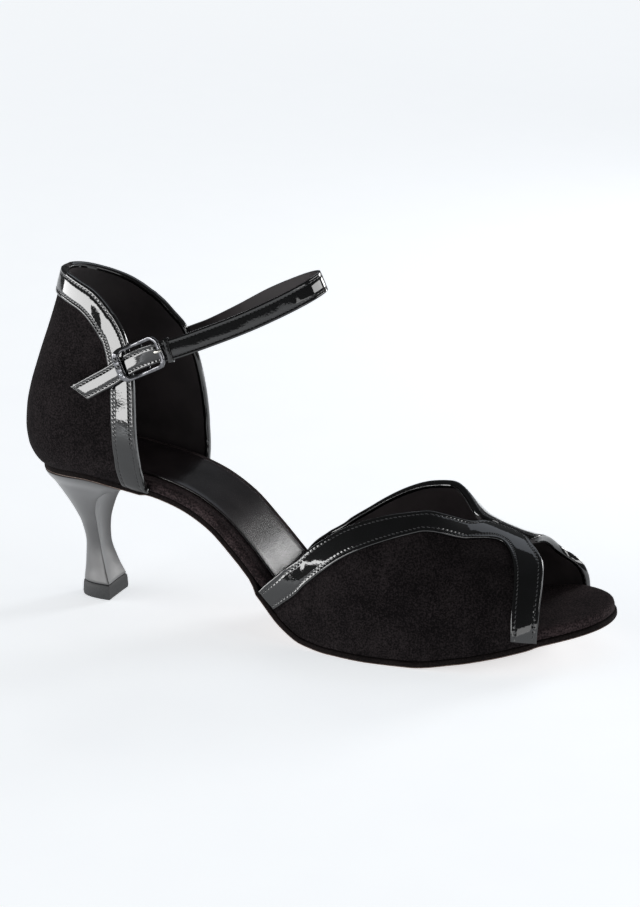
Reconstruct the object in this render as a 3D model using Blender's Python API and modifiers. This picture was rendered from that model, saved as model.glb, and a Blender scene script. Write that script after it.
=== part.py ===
"""A right-foot ballroom dance shoe: high counter, open waist, peep-toe vamp, ankle strap and flared heel.

Metres, +X towards the toe, +Y towards the inner (medial) side, +Z up.
The origin is on the floor, at the middle of the heel tip's ground face.
"""

import math
from collections import namedtuple

import bmesh
import bpy
from mathutils import Vector

# Driving sizes of the shoe
SHOE_LENGTH = 0.2365
BALL_WIDTH = 0.076
HEEL_HEIGHT = 0.054
TOE_SPRING = 0.010
BACK_HEIGHT = 0.1318
INSTEP_HEIGHT = 0.058

# Thicknesses and clearances
GAP = 0.0003
WALL_ROOM = 0.0005
SOLE_THICKNESS = 0.0022
INSOLE_THICKNESS = 0.0040
SOCK_THICKNESS = 0.0008
UPPER_WALL = 0.0016
TRIM_THICKNESS = 0.0009
STRAP_THICKNESS = 0.0018
SOCK_INSET = 0.0055
SOCK_FRONT = 0.198

# Plan of the insole: where it begins, and how long the rounding of each end is
SEAT_BACK = 0.0110
HEEL_ROUND = 0.030
TOE_ROUND = 0.046
BACK_ARC = 0.042
OUTLINE_POWER = 2.25

# Widths of the bound edges and of the strap
TRIM_WIDTH = 0.0092
STRAP_WIDTH = 0.0078

# Heel and its tip
TIP_HEIGHT = 0.0060
TIP_BACK = 0.0232
TIP_FRONT = 0.0370
TIP_HALF_WIDTH = 0.0083
TIP_FLARE = 0.0004
SEAT_HALF_WIDTH = 0.0236
HEEL_FRONT = 0.0500
ORIGIN = Vector(((TIP_BACK + TIP_FRONT) / 2, 0, 0))

# Buckle, with the tab that holds it, and the keeper
FRAME_LENGTH = 0.0196
FRAME_HEIGHT = 0.0132
FRAME_BAR = 0.0017
FRAME_DEPTH = 0.0016
FRAME_CORNER = 0.0030
TAIL_BAR_WIDTH = 0.0033
BAR_CLEARANCE = 0.0005
HINGE_BAR = 0.0016
PRONG_BAR = 0.0013
HOLE_LENGTH = 0.0034
TAB_THICKNESS = 0.0008
TAB_WIDTH = 0.0064
TAB_LENGTH = 0.0130
TAB_FOLD = 0.0040
KEEPER_WIDTH = 0.0019
KEEPER_WALL = 0.0006
STONE_SIZE = 0.0021
STONE_PITCH = 0.0029
TAIL_CUT = 0.0040

LATERAL = -1
MEDIAL = 1

# The bottom, heel to toe: station is a share of SHOE_LENGTH, lateral and medial are the insole's half-widths
# as shares of BALL_WIDTH, and the height of the sole's underside is rise as a share of HEEL_HEIGHT and spring
# as a share of TOE_SPRING.
Section = namedtuple("Section", "station lateral medial rise spring")
SECTIONS = (
    Section(0.00, 0.290, 0.290, 0.965, 0.00),
    Section(0.0793, 0.292, 0.292, 0.990, 0.00),
    Section(0.1388, 0.294, 0.292, 1.000, 0.00),
    Section(0.1983, 0.296, 0.285, 0.965, 0.00),
    Section(0.2578, 0.298, 0.275, 0.920, 0.00),
    Section(0.3074, 0.300, 0.262, 0.855, 0.00),
    Section(0.3570, 0.302, 0.252, 0.733, 0.00),
    Section(0.4065, 0.310, 0.246, 0.525, 0.00),
    Section(0.4561, 0.330, 0.250, 0.285, 0.00),
    Section(0.4958, 0.360, 0.270, 0.115, 0.00),
    Section(0.5354, 0.390, 0.300, 0.025, 0.00),
    Section(0.5850, 0.430, 0.340, 0.000, 0.00),
    Section(0.6544, 0.468, 0.410, 0.000, 0.00),
    Section(0.7238, 0.470, 0.465, 0.000, 0.03),
    Section(0.7932, 0.446, 0.484, 0.000, 0.28),
    Section(0.8527, 0.411, 0.476, 0.000, 0.58),
    Section(0.9150, 0.365, 0.490, 0.000, 0.93),
    Section(1.00, 0.300, 0.470, 0.000, 1.24),
)

# How far the outsole stands outside the insole, as a share of UPPER_WALL, at stations that are shares of
# SHOE_LENGTH
Margin = namedtuple("Margin", "station lateral medial")
MARGINS = (
    Margin(0.000, 1.15, 1.15),
    Margin(0.2429, 1.15, 1.15),
    Margin(0.2558, -0.30, 1.15),
    Margin(0.2776, -0.30, 1.15),
    Margin(0.2925, -0.30, -0.30),
    Margin(0.4363, -0.30, -0.30),
    Margin(0.4482, 1.60, -0.30),
    Margin(0.4581, 1.60, -0.30),
    Margin(0.4700, 1.60, 1.60),
    Margin(0.900, 1.60, 1.60),
    Margin(0.915, 0.35, 1.60),
    Margin(0.935, 0.35, 1.60),
    Margin(0.950, 0.35, 0.35),
    Margin(1.000, 0.35, 0.35),
)

# The vamp's inside: station is a share of SHOE_LENGTH, height is the crown's height above the sole as a share
# of INSTEP_HEIGHT, and ridge is how far the crown lies towards the medial side, as a share of BALL_WIDTH.
Crown = namedtuple("Crown", "station height ridge")
CROWNS = (
    Crown(0.4164, 1.040, 0.02),
    Crown(0.5453, 1.060, 0.02),
    Crown(0.6544, 1.030, 0.04),
    Crown(0.7139, 0.970, 0.06),
    Crown(0.7833, 0.690, 0.05),
    Crown(0.8626, 0.520, 0.05),
    Crown(1.00, 0.360, 0.06),
)
SIDE_POWER = 1.75
CROWN_POWER = 2.1

# The counter's inside: share is the height between the sole and BACK_HEIGHT, back is how far its rear stands in
# front of the seat's, and swell is how far its sides stand outside the insole, both as shares of HEEL_HEIGHT.
Level = namedtuple("Level", "share back swell")
LEVELS = (
    Level(0.00, -0.010, 0.006),
    Level(0.012, -0.010, 0.006),
    Level(0.03, -0.042, 0.022),
    Level(0.07, -0.082, 0.037),
    Level(0.12, -0.110, 0.048),
    Level(0.20, -0.124, 0.050),
    Level(0.30, -0.116, 0.037),
    Level(0.40, -0.088, 0.015),
    Level(0.50, -0.045, -0.007),
    Level(0.60, 0.002, -0.030),
    Level(0.70, 0.052, -0.052),
    Level(0.80, 0.098, -0.078),
    Level(0.90, 0.140, -0.104),
    Level(1.00, 0.178, -0.130),
)

# The counter's free edge on each side, from its foot up to the middle of the back: share is as in LEVELS, and
# lateral and medial are how far forward the edge lies, as shares of SHOE_LENGTH.
Edge = namedtuple("Edge", "share lateral medial")
EDGES = (
    Edge(0.000, 0.2608, 0.2841),
    Edge(0.090, 0.2536, 0.2818),
    Edge(0.180, 0.2485, 0.2798),
    Edge(0.280, 0.2441, 0.2784),
    Edge(0.400, 0.2406, 0.2752),
    Edge(0.510, 0.2377, 0.2692),
    Edge(0.600, 0.2325, 0.2598),
    Edge(0.680, 0.2266, 0.2484),
    Edge(0.750, 0.2169, 0.2271),
    Edge(0.800, 0.2057, 0.2112),
    Edge(0.850, 0.1919, 0.1884),
    Edge(0.900, 0.1745, 0.1626),
    Edge(0.935, 0.1577, 0.1388),
    Edge(0.965, 0.1319, 0.1150),
    Edge(0.985, 0.1111, 0.0992),
    Edge(1.000, 0.0859, 0.0859),
)

# The vamp's free edges, from the lateral foot (around 0) over the crown to the medial foot (around 1): where
# the throat and the toe opening lie, as shares of SHOE_LENGTH.
Rim = namedtuple("Rim", "around throat opening")
RIMS = (
    Rim(0.000, 0.4500, 0.9104),
    Rim(0.100, 0.4943, 0.9120),
    Rim(0.200, 0.5594, 0.9110),
    Rim(0.250, 0.6068, 0.9090),
    Rim(0.300, 0.6738, 0.9063),
    Rim(0.325, 0.7125, 0.9040),
    Rim(0.350, 0.7320, 0.9010),
    Rim(0.400, 0.7585, 0.8885),
    Rim(0.440, 0.7755, 0.8765),
    Rim(0.490, 0.7870, 0.8645),
    Rim(0.560, 0.7595, 0.8755),
    Rim(0.620, 0.7318, 0.8775),
    Rim(0.660, 0.7060, 0.8790),
    Rim(0.700, 0.6624, 0.8815),
    Rim(0.780, 0.5900, 0.8895),
    Rim(0.860, 0.5216, 0.9170),
    Rim(0.940, 0.4740, 0.9275),
    Rim(1.000, 0.4512, 0.9290),
)
CROWN_SEAM = 0.475
SEAM_STEP = 0.02
CROWN_REACH = 1.05
CROWN_BULGE = 0.07
CROWN_NARROWING = 0.22

# The heel under the seat, tip to seat: share is the height between the tip and the sole, and back, front and
# half are the place of the rear, of the breast and the half-width, each as a share of the way from the tip's to
# the seat's. bow is how hollow the breast is, as a share of the heel's depth there.
Ring = namedtuple("Ring", "share back front half bow")
RINGS = (
    Ring(0.00, 0.00, 0.00, 0.00, 0.02),
    Ring(0.15, -0.05, -0.20, -0.12, 0.06),
    Ring(0.32, -0.07, -0.36, -0.20, 0.12),
    Ring(0.48, 0.03, -0.40, -0.12, 0.16),
    Ring(0.62, 0.23, -0.35, 0.08, 0.18),
    Ring(0.76, 0.50, -0.15, 0.36, 0.18),
    Ring(0.88, 0.76, 0.30, 0.68, 0.14),
    Ring(0.96, 0.94, 0.78, 0.92, 0.06),
    Ring(1.00, 1.00, 1.00, 1.00, 0.00),
)

# The strap's middle line, from where it is sewn on the counter's medial side, around the front, through the
# buckle to its tail: forward is a share of SHOE_LENGTH, side of BALL_WIDTH and height of BACK_HEIGHT. Where
# rests is 1 the strap lies on the counter's trim, and its side only tells which side of the shoe that is.
Stop = namedtuple("Stop", "forward side height rests")
STRAP = (
    Stop(0.1636, 0.338, 0.6975, 1),
    Stop(0.2033, 0.333, 0.7348, 1),
    Stop(0.2640, 0.322, 0.7824, 1),
    Stop(0.3030, 0.240, 0.8164, 0),
    Stop(0.3619, 0.172, 0.8753, 0),
    Stop(0.4214, 0.138, 0.9376, 0),
    Stop(0.4769, 0.105, 0.9857, 0),
    Stop(0.5067, 0.068, 1.0070, 0),
    Stop(0.5196, 0.006, 1.0124, 0),
    Stop(0.5156, -0.058, 1.0034, 0),
    Stop(0.4958, -0.110, 0.9803, 0),
    Stop(0.4581, -0.150, 0.9429, 0),
    Stop(0.4115, -0.197, 0.9020, 0),
    Stop(0.3570, -0.255, 0.8611, 0),
    Stop(0.3081, -0.306, 0.8272, 0),
    Stop(0.2753, -0.332, 0.8103, 0),
    Stop(0.2390, -0.345, 0.7802, 1),
    Stop(0.2065, -0.350, 0.7400, 1),
    Stop(0.1748, -0.352, 0.7061, 1),
    Stop(0.1450, -0.352, 0.6742, 1),
)
STRAP_SLOPE = math.radians(24.5)
BUCKLE_STOP = 15.52


def between(rows, name, at):
    """A table column's value at a place in its first column, on a smooth curve that never overshoots a row."""
    xs = [row[0] for row in rows]
    ys = [getattr(row, name) for row in rows]
    at = min(max(at, xs[0]), xs[-1])
    k = max(i for i in range(len(xs) - 1) if xs[i] <= at)
    slopes = [(b - a) / (q - p) for a, b, p, q in zip(ys, ys[1:], xs, xs[1:])]
    tangents = [slopes[0]]
    for before, after in zip(slopes, slopes[1:]):
        same_way = before * after > 0
        tangents.append(2 * before * after / (before + after) if same_way else 0.0)
    tangents.append(slopes[-1])
    step = xs[k + 1] - xs[k]
    t = (at - xs[k]) / step
    return (
        (1 + 2 * t) * (1 - t) ** 2 * ys[k]
        + t * (1 - t) ** 2 * step * tangents[k]
        + t * t * (3 - 2 * t) * ys[k + 1]
        + t * t * (t - 1) * step * tangents[k + 1]
    )


def round_off(share):
    """Half-width factor of a rounded end, from 0 at its tip to 1 where the end is over."""
    share = min(max(share, 0.0), 1.0)
    return (1 - (1 - share) ** OUTLINE_POWER) ** (1 / OUTLINE_POWER)


def edge(x, side, out=0.0):
    """Sideways place of an outline that runs a given distance outside the insole's."""
    lateral = BALL_WIDTH * between(SECTIONS, "lateral", x / SHOE_LENGTH)
    medial = BALL_WIDTH * between(SECTIONS, "medial", x / SHOE_LENGTH)
    heel = round_off((x - SEAT_BACK + out) / (HEEL_ROUND + out))
    toe = round_off((SHOE_LENGTH + out - x) / (TOE_ROUND + out))
    return (medial - lateral) / 2 + side * ((medial + lateral) / 2 + out) * heel * toe


def profile(x):
    """Height of the outsole's underside along the middle of the shoe."""
    station = x / SHOE_LENGTH
    heel = HEEL_HEIGHT * between(SECTIONS, "rise", station)
    return heel + TOE_SPRING * between(SECTIONS, "spring", station)


def sole_point(x, y, up):
    """A point at a height above the outsole's underside, square to its profile."""
    step = 0.001
    slope = (profile(x + step) - profile(x - step)) / (2 * step)
    length = math.hypot(1, slope)
    return Vector((x - up * slope / length, y, profile(x) + up / length))


def vamp_point(x, around):
    """A point on the vamp's inside: around goes from the lateral foot over to the medial."""
    angle = math.pi * min(max(around, 0.0), 1.0)
    station = x / SHOE_LENGTH
    left = edge(x, LATERAL, WALL_ROOM)
    right = edge(x, MEDIAL, WALL_ROOM)
    lift = math.sin(angle) ** (2 / CROWN_POWER)
    swing = math.copysign(abs(math.cos(angle)) ** (2 / SIDE_POWER), -math.cos(angle))
    ridge = BALL_WIDTH * between(CROWNS, "ridge", station)
    height = INSTEP_HEIGHT * between(CROWNS, "height", station)
    y = (left + right) / 2 * (1 - lift**2) + ridge * lift**2 + swing * (right - left) / 2
    return sole_point(x, y, SOLE_THICKNESS + WALL_ROOM) + Vector((0, 0, height * lift))


def counter_back(share):
    return SEAT_BACK - GAP + HEEL_HEIGHT * between(LEVELS, "back", share)


def counter_run(share, forward):
    """Distance around the counter from the middle of its back to a place at a given distance forward."""
    ahead = forward - counter_back(share)
    if ahead >= HEEL_ROUND:
        return BACK_ARC + ahead - HEEL_ROUND
    turned = math.acos((1 - max(ahead, 0.0) / HEEL_ROUND) ** (OUTLINE_POWER / 2))
    return BACK_ARC * turned / (math.pi / 2)


def counter_half(x, share, side):
    """Half-width of the counter's inside on one side."""
    column = "medial" if side == MEDIAL else "lateral"
    sole = BALL_WIDTH * between(SECTIONS, column, x / SHOE_LENGTH)
    return sole + GAP + HEEL_HEIGHT * between(LEVELS, "swell", share)


def counter_point(run, share):
    """A point on the counter's inside: run is negative on the lateral side, and share is 0 at the sole."""
    side = MEDIAL if run > 0 else LATERAL
    angle = min(abs(run) / BACK_ARC, 1.0) * math.pi / 2
    ahead = HEEL_ROUND * (1 - max(math.cos(angle), 0.0) ** (2 / OUTLINE_POWER))
    ahead += max(0.0, abs(run) - BACK_ARC)
    x = counter_back(share) + ahead
    half = counter_half(x, share, side)
    foot = profile(x) + SOLE_THICKNESS + GAP
    y = side * half * math.sin(angle) ** (2 / OUTLINE_POWER)
    return Vector((x, y, foot + (BACK_HEIGHT - foot) * share))


def outward(surface, u, v):
    """The surface's unit normal, which points out of the shoe."""
    along = surface(u + 1e-4, v) - surface(u - 1e-4, v)
    across = surface(u, v + 2e-3) - surface(u, v - 2e-3)
    normal = along.cross(across).normalized()
    return -normal if surface is counter_point else normal


def lifted(surface, u, v, out):
    return surface(u, v) + outward(surface, u, v) * out


def softened(points, passes):
    """The line with its corners cut, keeping both ends."""
    for _ in range(passes):
        cut = [points[0]]
        for a, b in zip(points, points[1:]):
            cut += [a.lerp(b, 0.25), a.lerp(b, 0.75)]
        points = cut + [points[-1]]
    return points


def material(name, colour, roughness, metallic=0.0):
    """A plain surface that only tells the pieces apart."""
    made = bpy.data.materials.new(name)
    made.use_nodes = True
    surface = made.node_tree.nodes["Principled BSDF"]
    surface.inputs["Base Color"].default_value = (*colour, 1.0)
    surface.inputs["Roughness"].default_value = roughness
    surface.inputs["Metallic"].default_value = metallic
    return made


def mesh_object(name, mesh, surface, collection):
    """An object from a bmesh, moved so that the origin is under the heel tip."""
    bmesh.ops.translate(mesh, vec=-ORIGIN, verts=mesh.verts)
    data = bpy.data.meshes.new(name)
    mesh.to_mesh(data)
    mesh.free()
    data.materials.append(surface)
    made = bpy.data.objects.new(name, data)
    collection.objects.link(made)
    return made


def grid_mesh(rows):
    """Faces between rows of points. A row of one point closes an end."""
    mesh = bmesh.new()
    made = [[mesh.verts.new(point) for point in row] for row in rows]
    for below, above in zip(made, made[1:]):
        for i in range(max(len(below), len(above)) - 1):
            corners = [below[min(i, len(below) - 1)], below[min(i + 1, len(below) - 1)]]
            corners += [above[min(i + 1, len(above) - 1)], above[min(i, len(above) - 1)]]
            mesh.faces.new(list(dict.fromkeys(corners)))
    return mesh


def thicken(made, thickness, offset=1.0):
    """Gives a surface its wall. An offset of 1 puts all of it on the side that the faces look to."""
    modifier = made.modifiers.new("Wall", "SOLIDIFY")
    modifier.thickness = thickness
    modifier.offset = offset
    modifier.use_even_offset = False
    return made


def soften_edges(made, width, segments=1):
    modifier = made.modifiers.new("Worn edge", "BEVEL")
    modifier.width = width
    modifier.segments = segments
    modifier.limit_method = "ANGLE"
    modifier.angle_limit = math.radians(50)
    return made


def stations(start, end, count):
    """Places from start to end, close together at both ends."""
    return [start + (end - start) * (1 - math.cos(math.pi * i / count)) / 2 for i in range(count + 1)]


def plate_rows(start, end, count, columns, side_line, up):
    """Rows across the bottom, at a height above the outsole's underside, between side_line's two lines."""
    rows = []
    for i, x in enumerate(stations(start, end, count)):
        left = side_line(x, LATERAL)
        right = side_line(x, MEDIAL)
        if i in (0, count):
            rows.append([sole_point(x, (left + right) / 2, up)])
        else:
            ys = [right + (left - right) * j / columns for j in range(columns + 1)]
            rows.append([sole_point(x, y, up) for y in ys])
    return rows


def outsole_line(x, side):
    column = "lateral" if side == LATERAL else "medial"
    return edge(x, side, UPPER_WALL * between(MARGINS, column, x / SHOE_LENGTH))


def sock_line(x, side):
    """The sock lining's outline: inside the insole's, and round again where it ends under the vamp."""
    left = edge(x, LATERAL, -SOCK_INSET)
    right = edge(x, MEDIAL, -SOCK_INSET)
    return (left + right) / 2 + side * (right - left) / 2 * round_off((SOCK_FRONT - x) / TOE_ROUND)


def build_bottom(collection):
    """Outsole, covered insole and sock lining, one above the other."""
    tan = material("Chrome suede sole", (0.20, 0.13, 0.10), 0.9)
    cover = material("Suede insole cover", (0.03, 0.02, 0.02), 0.9)
    sock = material("Sock leather", (0.03, 0.03, 0.03), 0.5)
    most = UPPER_WALL * MARGINS[-1].lateral
    least = UPPER_WALL * MARGINS[0].lateral
    rows = plate_rows(SEAT_BACK - least, SHOE_LENGTH + most, 54, 4, outsole_line, 0.0)
    made = mesh_object("outsole", grid_mesh(rows), tan, collection)
    soften_edges(thicken(made, SOLE_THICKNESS), 0.0003)
    up = SOLE_THICKNESS + GAP
    rows = plate_rows(SEAT_BACK, SHOE_LENGTH, 48, 4, edge, up)
    made = mesh_object("insole", grid_mesh(rows), cover, collection)
    soften_edges(thicken(made, INSOLE_THICKNESS - GAP), 0.0012)
    up += INSOLE_THICKNESS
    rows = plate_rows(SEAT_BACK + SOCK_INSET, SOCK_FRONT, 28, 4, sock_line, up)
    thicken(mesh_object("sock_lining", grid_mesh(rows), sock, collection), SOCK_THICKNESS)


def edge_forward(share, side):
    return SHOE_LENGTH * between(EDGES, "lateral" if side == LATERAL else "medial", share)


def counter_rows(count, columns):
    rows = []
    for i in range(count):
        share = (1 - math.cos(math.pi * i / count)) / 2
        first = -counter_run(share, edge_forward(share, LATERAL))
        last = counter_run(share, edge_forward(share, MEDIAL))
        rows.append([counter_point(first + (last - first) * j / columns, share) for j in range(columns + 1)])
    return rows + [[counter_point(0.0, 1.0)]]


def march(surface, u, v, along, width, steps=8):
    """Where a walk of a given width over the surface ends, square to the edge direction, to its left."""
    for _ in range(steps):
        v = min(max(v, 2e-3), 1 - 2e-3)
        du = (surface(u + 1e-4, v) - surface(u - 1e-4, v)) / 2e-4
        dv = (surface(u, v + 2e-3) - surface(u, v - 2e-3)) / 4e-3
        way = outward(surface, u, v).cross(along).normalized() * (width / steps)
        a, b, c = du.dot(du), du.dot(dv), dv.dot(dv)
        p, q = du.dot(way), dv.dot(way)
        det = a * c - b * b
        u += (p * c - q * b) / det
        v += (q * a - p * b) / det
    return u, v


def band_rows(surface, border, widths, columns, out, rounding):
    """A strip of given widths along a border, lifted off the surface: border holds the surface's own places."""
    inner = []
    for i, (u, v) in enumerate(border):
        before = border[max(i - 1, 0)]
        after = border[min(i + 1, len(border) - 1)]
        along = (surface(*after) - surface(*before)).normalized()
        inner.append(march(surface, u, v, along, widths[i]))
    unfold(inner)
    for _ in range(rounding):
        ring = [inner[0]]
        for before, here, after in zip(inner, inner[1:], inner[2:]):
            ring.append(tuple((before[k] + 2 * here[k] + after[k]) / 4 for k in (0, 1)))
        inner = ring + [inner[-1]]
    rows = []
    for j in range(columns + 1):
        row = []
        for near, far in zip(border, inner):
            u = near[0] + (far[0] - near[0]) * j / columns
            v = near[1] + (far[1] - near[1]) * j / columns
            row.append(lifted(surface, u, min(max(v, 0.0), 1.0), out))
        rows.append(row)
    return rows if widths[0] > 0 else rows[::-1]


def unfold(wall):
    """Pulls together the places where the inner side of a tight bend would cross itself."""
    count = len(wall)
    for i in range(count - 2):
        for j in range(min(count - 2, i + 40), i + 1, -1):
            if crossing(wall[i], wall[i + 1], wall[j], wall[j + 1]):
                for m in range(i + 1, j + 1):
                    share = (m - i) / (j + 1 - i)
                    wall[m] = tuple(wall[i][k] + (wall[j + 1][k] - wall[i][k]) * share for k in (0, 1))
                return


def crossing(a, b, c, d):
    def turn(p, q, r):
        return (q[0] - p[0]) * (r[1] - p[1]) - (q[1] - p[1]) * (r[0] - p[0])

    return turn(a, b, c) * turn(a, b, d) < 0 and turn(c, d, a) * turn(c, d, b) < 0


def even_border(surface, places, count):
    """A border's places, moved to even distances along it."""
    points = [surface(u, v) for u, v in places]
    lengths = [0.0]
    for a, b in zip(points, points[1:]):
        lengths.append(lengths[-1] + (b - a).length)
    found = []
    k = 0
    for i in range(count):
        at = lengths[-1] * i / (count - 1)
        while k < len(points) - 2 and lengths[k + 1] < at:
            k += 1
        part = min(max((at - lengths[k]) / (lengths[k + 1] - lengths[k]), 0.0), 1.0)
        found.append(tuple(places[k][n] + (places[k + 1][n] - places[k][n]) * part for n in (0, 1)))
    return found


def counter_border(count=160):
    """The counter's whole free edge, from the lateral foot over the back to the medial foot."""
    legs = []
    for side in (LATERAL, MEDIAL):
        shares = [math.sin(math.pi / 2 * i / count) for i in range(count + 1)]
        legs.append([(side * counter_run(share, edge_forward(share, side)), share) for share in shares])
    return legs[0][:-1] + legs[1][::-1]


def build_counter(collection, suede, patent):
    counter = mesh_object("counter", grid_mesh(counter_rows(15, 26)), suede, collection)
    flip(counter)
    thicken(counter, UPPER_WALL)
    border = even_border(counter_point, counter_border(), 76)
    widths = [TRIM_WIDTH] * len(border)
    rows = band_rows(counter_point, border, widths, 2, UPPER_WALL + GAP, 2)
    trim = mesh_object("counter_trim", grid_mesh(rows), patent, collection)
    thicken(trim, TRIM_THICKNESS)


def flip(made):
    mesh = bmesh.new()
    mesh.from_mesh(made.data)
    bmesh.ops.reverse_faces(mesh, faces=mesh.faces)
    mesh.to_mesh(made.data)
    mesh.free()


def vamp_rows(count, columns):
    rows = []
    for i in range(count + 1):
        row = []
        for j in range(columns + 1):
            around = j / columns
            throat = SHOE_LENGTH * between(RIMS, "throat", around)
            opening = SHOE_LENGTH * between(RIMS, "opening", around)
            row.append(vamp_point(throat + (opening - throat) * i / count, around))
        rows.append(row)
    return rows


def vamp_border(side, count=60):
    """The outer edge of one vamp trim: up the throat, along the crown and down beside the toe opening."""
    line = CROWN_SEAM if side == LATERAL else CROWN_SEAM + SEAM_STEP
    foot = 0.0 if side == LATERAL else 1.0
    ends = [foot + (line - foot) * share / count for share in range(count - 3)]
    throat = [(SHOE_LENGTH * between(RIMS, "throat", around), around) for around in ends]
    opening = [(SHOE_LENGTH * between(RIMS, "opening", around), around) for around in ends[::-1]]
    first = throat[-1][0]
    last = opening[0][0]
    bulges = [line + CROWN_BULGE * math.sin(math.pi * k / 6) for k in range(1, 6)]
    crown = [(first + (last - first) * k / 6, bulge) for k, bulge in enumerate(bulges, 1)]
    reach = CROWN_REACH * BALL_WIDTH
    places = [Vector((u, v * reach, 0)) for u, v in throat[::4] + crown + opening[::4]]
    return [(place.x, place.y / reach) for place in softened(places, 3)]


def trim_width(side, share):
    """Width at a share of a vamp trim's length: the medial one is narrower where it runs over the crown."""
    narrowing = CROWN_NARROWING if side == MEDIAL else 0.0
    return TRIM_WIDTH * (1 - narrowing * math.sin(math.pi * share) ** 4)


def build_vamp(collection, suede, patent):
    vamp = mesh_object("vamp", grid_mesh(vamp_rows(15, 26)[::-1]), suede, collection)
    thicken(vamp, UPPER_WALL)
    for side, name in ((LATERAL, "vamp_trim_lateral"), (MEDIAL, "vamp_trim_medial")):
        border = even_border(vamp_point, vamp_border(side), 64)
        widths = [side * trim_width(side, i / (len(border) - 1)) for i in range(len(border))]
        rows = band_rows(vamp_point, border, widths, 2, UPPER_WALL + GAP, 30)
        trim = mesh_object(name, grid_mesh(rows), patent, collection)
        thicken(trim, TRIM_THICKNESS)


def heel_ring(share, columns):
    """One closed ring of the heel, round at the back and straight across the breast."""
    top_back = SEAT_BACK - UPPER_WALL * MARGINS[0].lateral + GAP
    back = TIP_BACK + (top_back - TIP_BACK) * between(RINGS, "back", share)
    front = TIP_FRONT + (HEEL_FRONT - TIP_FRONT) * between(RINGS, "front", share)
    half = TIP_HALF_WIDTH + (SEAT_HALF_WIDTH - TIP_HALF_WIDTH) * between(RINGS, "half", share)
    bow = (front - back) * between(RINGS, "bow", share)
    points = []
    depth = min(front - back, HEEL_ROUND) * 0.96
    for i in range(columns + 1):
        angle = math.pi * (i / columns - 0.5)
        if abs(angle) < math.pi / 2 - 1e-6:
            x = back + depth * (1 - math.cos(angle) ** (2 / OUTLINE_POWER))
            y = half * math.copysign(abs(math.sin(angle)) ** (2 / OUTLINE_POWER), angle)
        else:
            x = front
            y = math.copysign(half, angle)
        points.append((x, y))
    count = 6
    for i in range(1, count):
        y = half * (1 - 2 * i / count)
        points.append((front - bow * (1 - (y / half) ** 2), y))
    ring = []
    for x, y in points:
        top = profile(x) - GAP
        base = TIP_HEIGHT + GAP
        ring.append(Vector((x, y, base + (top - base) * share)))
    return ring


def loft(rings):
    """A closed body through rings of the same number of points."""
    mesh = bmesh.new()
    made = [[mesh.verts.new(point) for point in ring] for ring in rings]
    for below, above in zip(made, made[1:]):
        for i in range(len(below)):
            j = (i + 1) % len(below)
            mesh.faces.new((below[i], below[j], above[j], above[i]))
    mesh.faces.new(made[0][::-1])
    mesh.faces.new(made[-1])
    bmesh.ops.recalc_face_normals(mesh, faces=mesh.faces)
    return mesh


def build_heel(collection):
    lacquer = material("Heel lacquer", (0.02, 0.02, 0.022), 0.15)
    rings = [heel_ring(i / 16, 20) for i in range(17)]
    mesh_object("heel", loft(rings), lacquer, collection)
    top = heel_ring(0.0, 20)
    middle = sum(top, Vector()) / len(top)
    rings = []
    for height, flare in ((0.0, 0.6), (0.0005, 1.0), (TIP_HEIGHT, 0.2)):
        ring = []
        for point in top:
            away = Vector((point.x - middle.x, point.y - middle.y, 0))
            ring.append(Vector((point.x, point.y, height)) + away.normalized() * TIP_FLARE * flare)
        rings.append(ring)
    mesh_object("heel_tip", loft(rings), material("Heel tip rubber", (0.03, 0.03, 0.032), 0.7), collection)


def counter_side(x, z, side):
    """Sideways place of the counter's inside, at a place forward and a height."""
    foot = profile(x) + SOLE_THICKNESS + GAP
    share = (z - foot) / (BACK_HEIGHT - foot)
    ahead = min(max((x - counter_back(share)) / HEEL_ROUND, 0.0), 1.0)
    return side * counter_half(x, share, side) * round_off(ahead)


def stop_place(row):
    """Where the strap's middle is at a row of STRAP, and how much it leans to the medial side there."""
    x = row.forward * SHOE_LENGTH
    z = row.height * BACK_HEIGHT
    if not row.rests:
        return x, row.side * BALL_WIDTH, z, 0.0
    side = MEDIAL if row.side > 0 else LATERAL
    low = counter_side(x, z - STRAP_WIDTH / 2, side)
    high = counter_side(x, z + STRAP_WIDTH / 2, side)
    lean = (high - low) / STRAP_WIDTH
    under = UPPER_WALL + GAP + TRIM_THICKNESS + GAP
    if side == LATERAL:
        under += TAB_THICKNESS + GAP
    return x, (low + high) / 2 + side * (under + STRAP_THICKNESS / 2) * math.hypot(1, lean), z, lean


def strap_values(at):
    """The smooth line through the rows' places and leans, at a place counted in rows of STRAP."""
    k = min(max(int(at), 0), len(STRAP) - 2)
    t = at - k
    rows = [stop_place(STRAP[min(max(n, 0), len(STRAP) - 1)]) for n in (k - 1, k, k + 1, k + 2)]
    found = []
    for a, b, c, d in zip(*rows):
        curve = 2 * b + (c - a) * t + (2 * a - 5 * b + 4 * c - d) * t * t + (3 * b - a - 3 * c + d) * t**3
        found.append(curve / 2)
    return found


def strap_stop(at):
    return Vector(strap_values(at)[:3])


def strap_frame(at):
    """Middle point, direction, width direction and outward direction of the strap."""
    along = (strap_stop(min(at + 0.05, len(STRAP) - 1)) - strap_stop(max(at - 0.05, 0))).normalized()
    wide = Vector((-math.sin(STRAP_SLOPE), strap_values(at)[3], math.cos(STRAP_SLOPE)))
    wide = (wide - along * wide.dot(along)).normalized()
    return strap_stop(at), along, wide, wide.cross(along)


def buckle_place(x, y, z):
    """A point fixed to the buckle: x towards the tail, y up across the strap, z out from the strap's face."""
    middle, along, wide, out = strap_frame(BUCKLE_STOP)
    return middle + along * x + wide * y + out * (z + STRAP_THICKNESS / 2)


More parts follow.
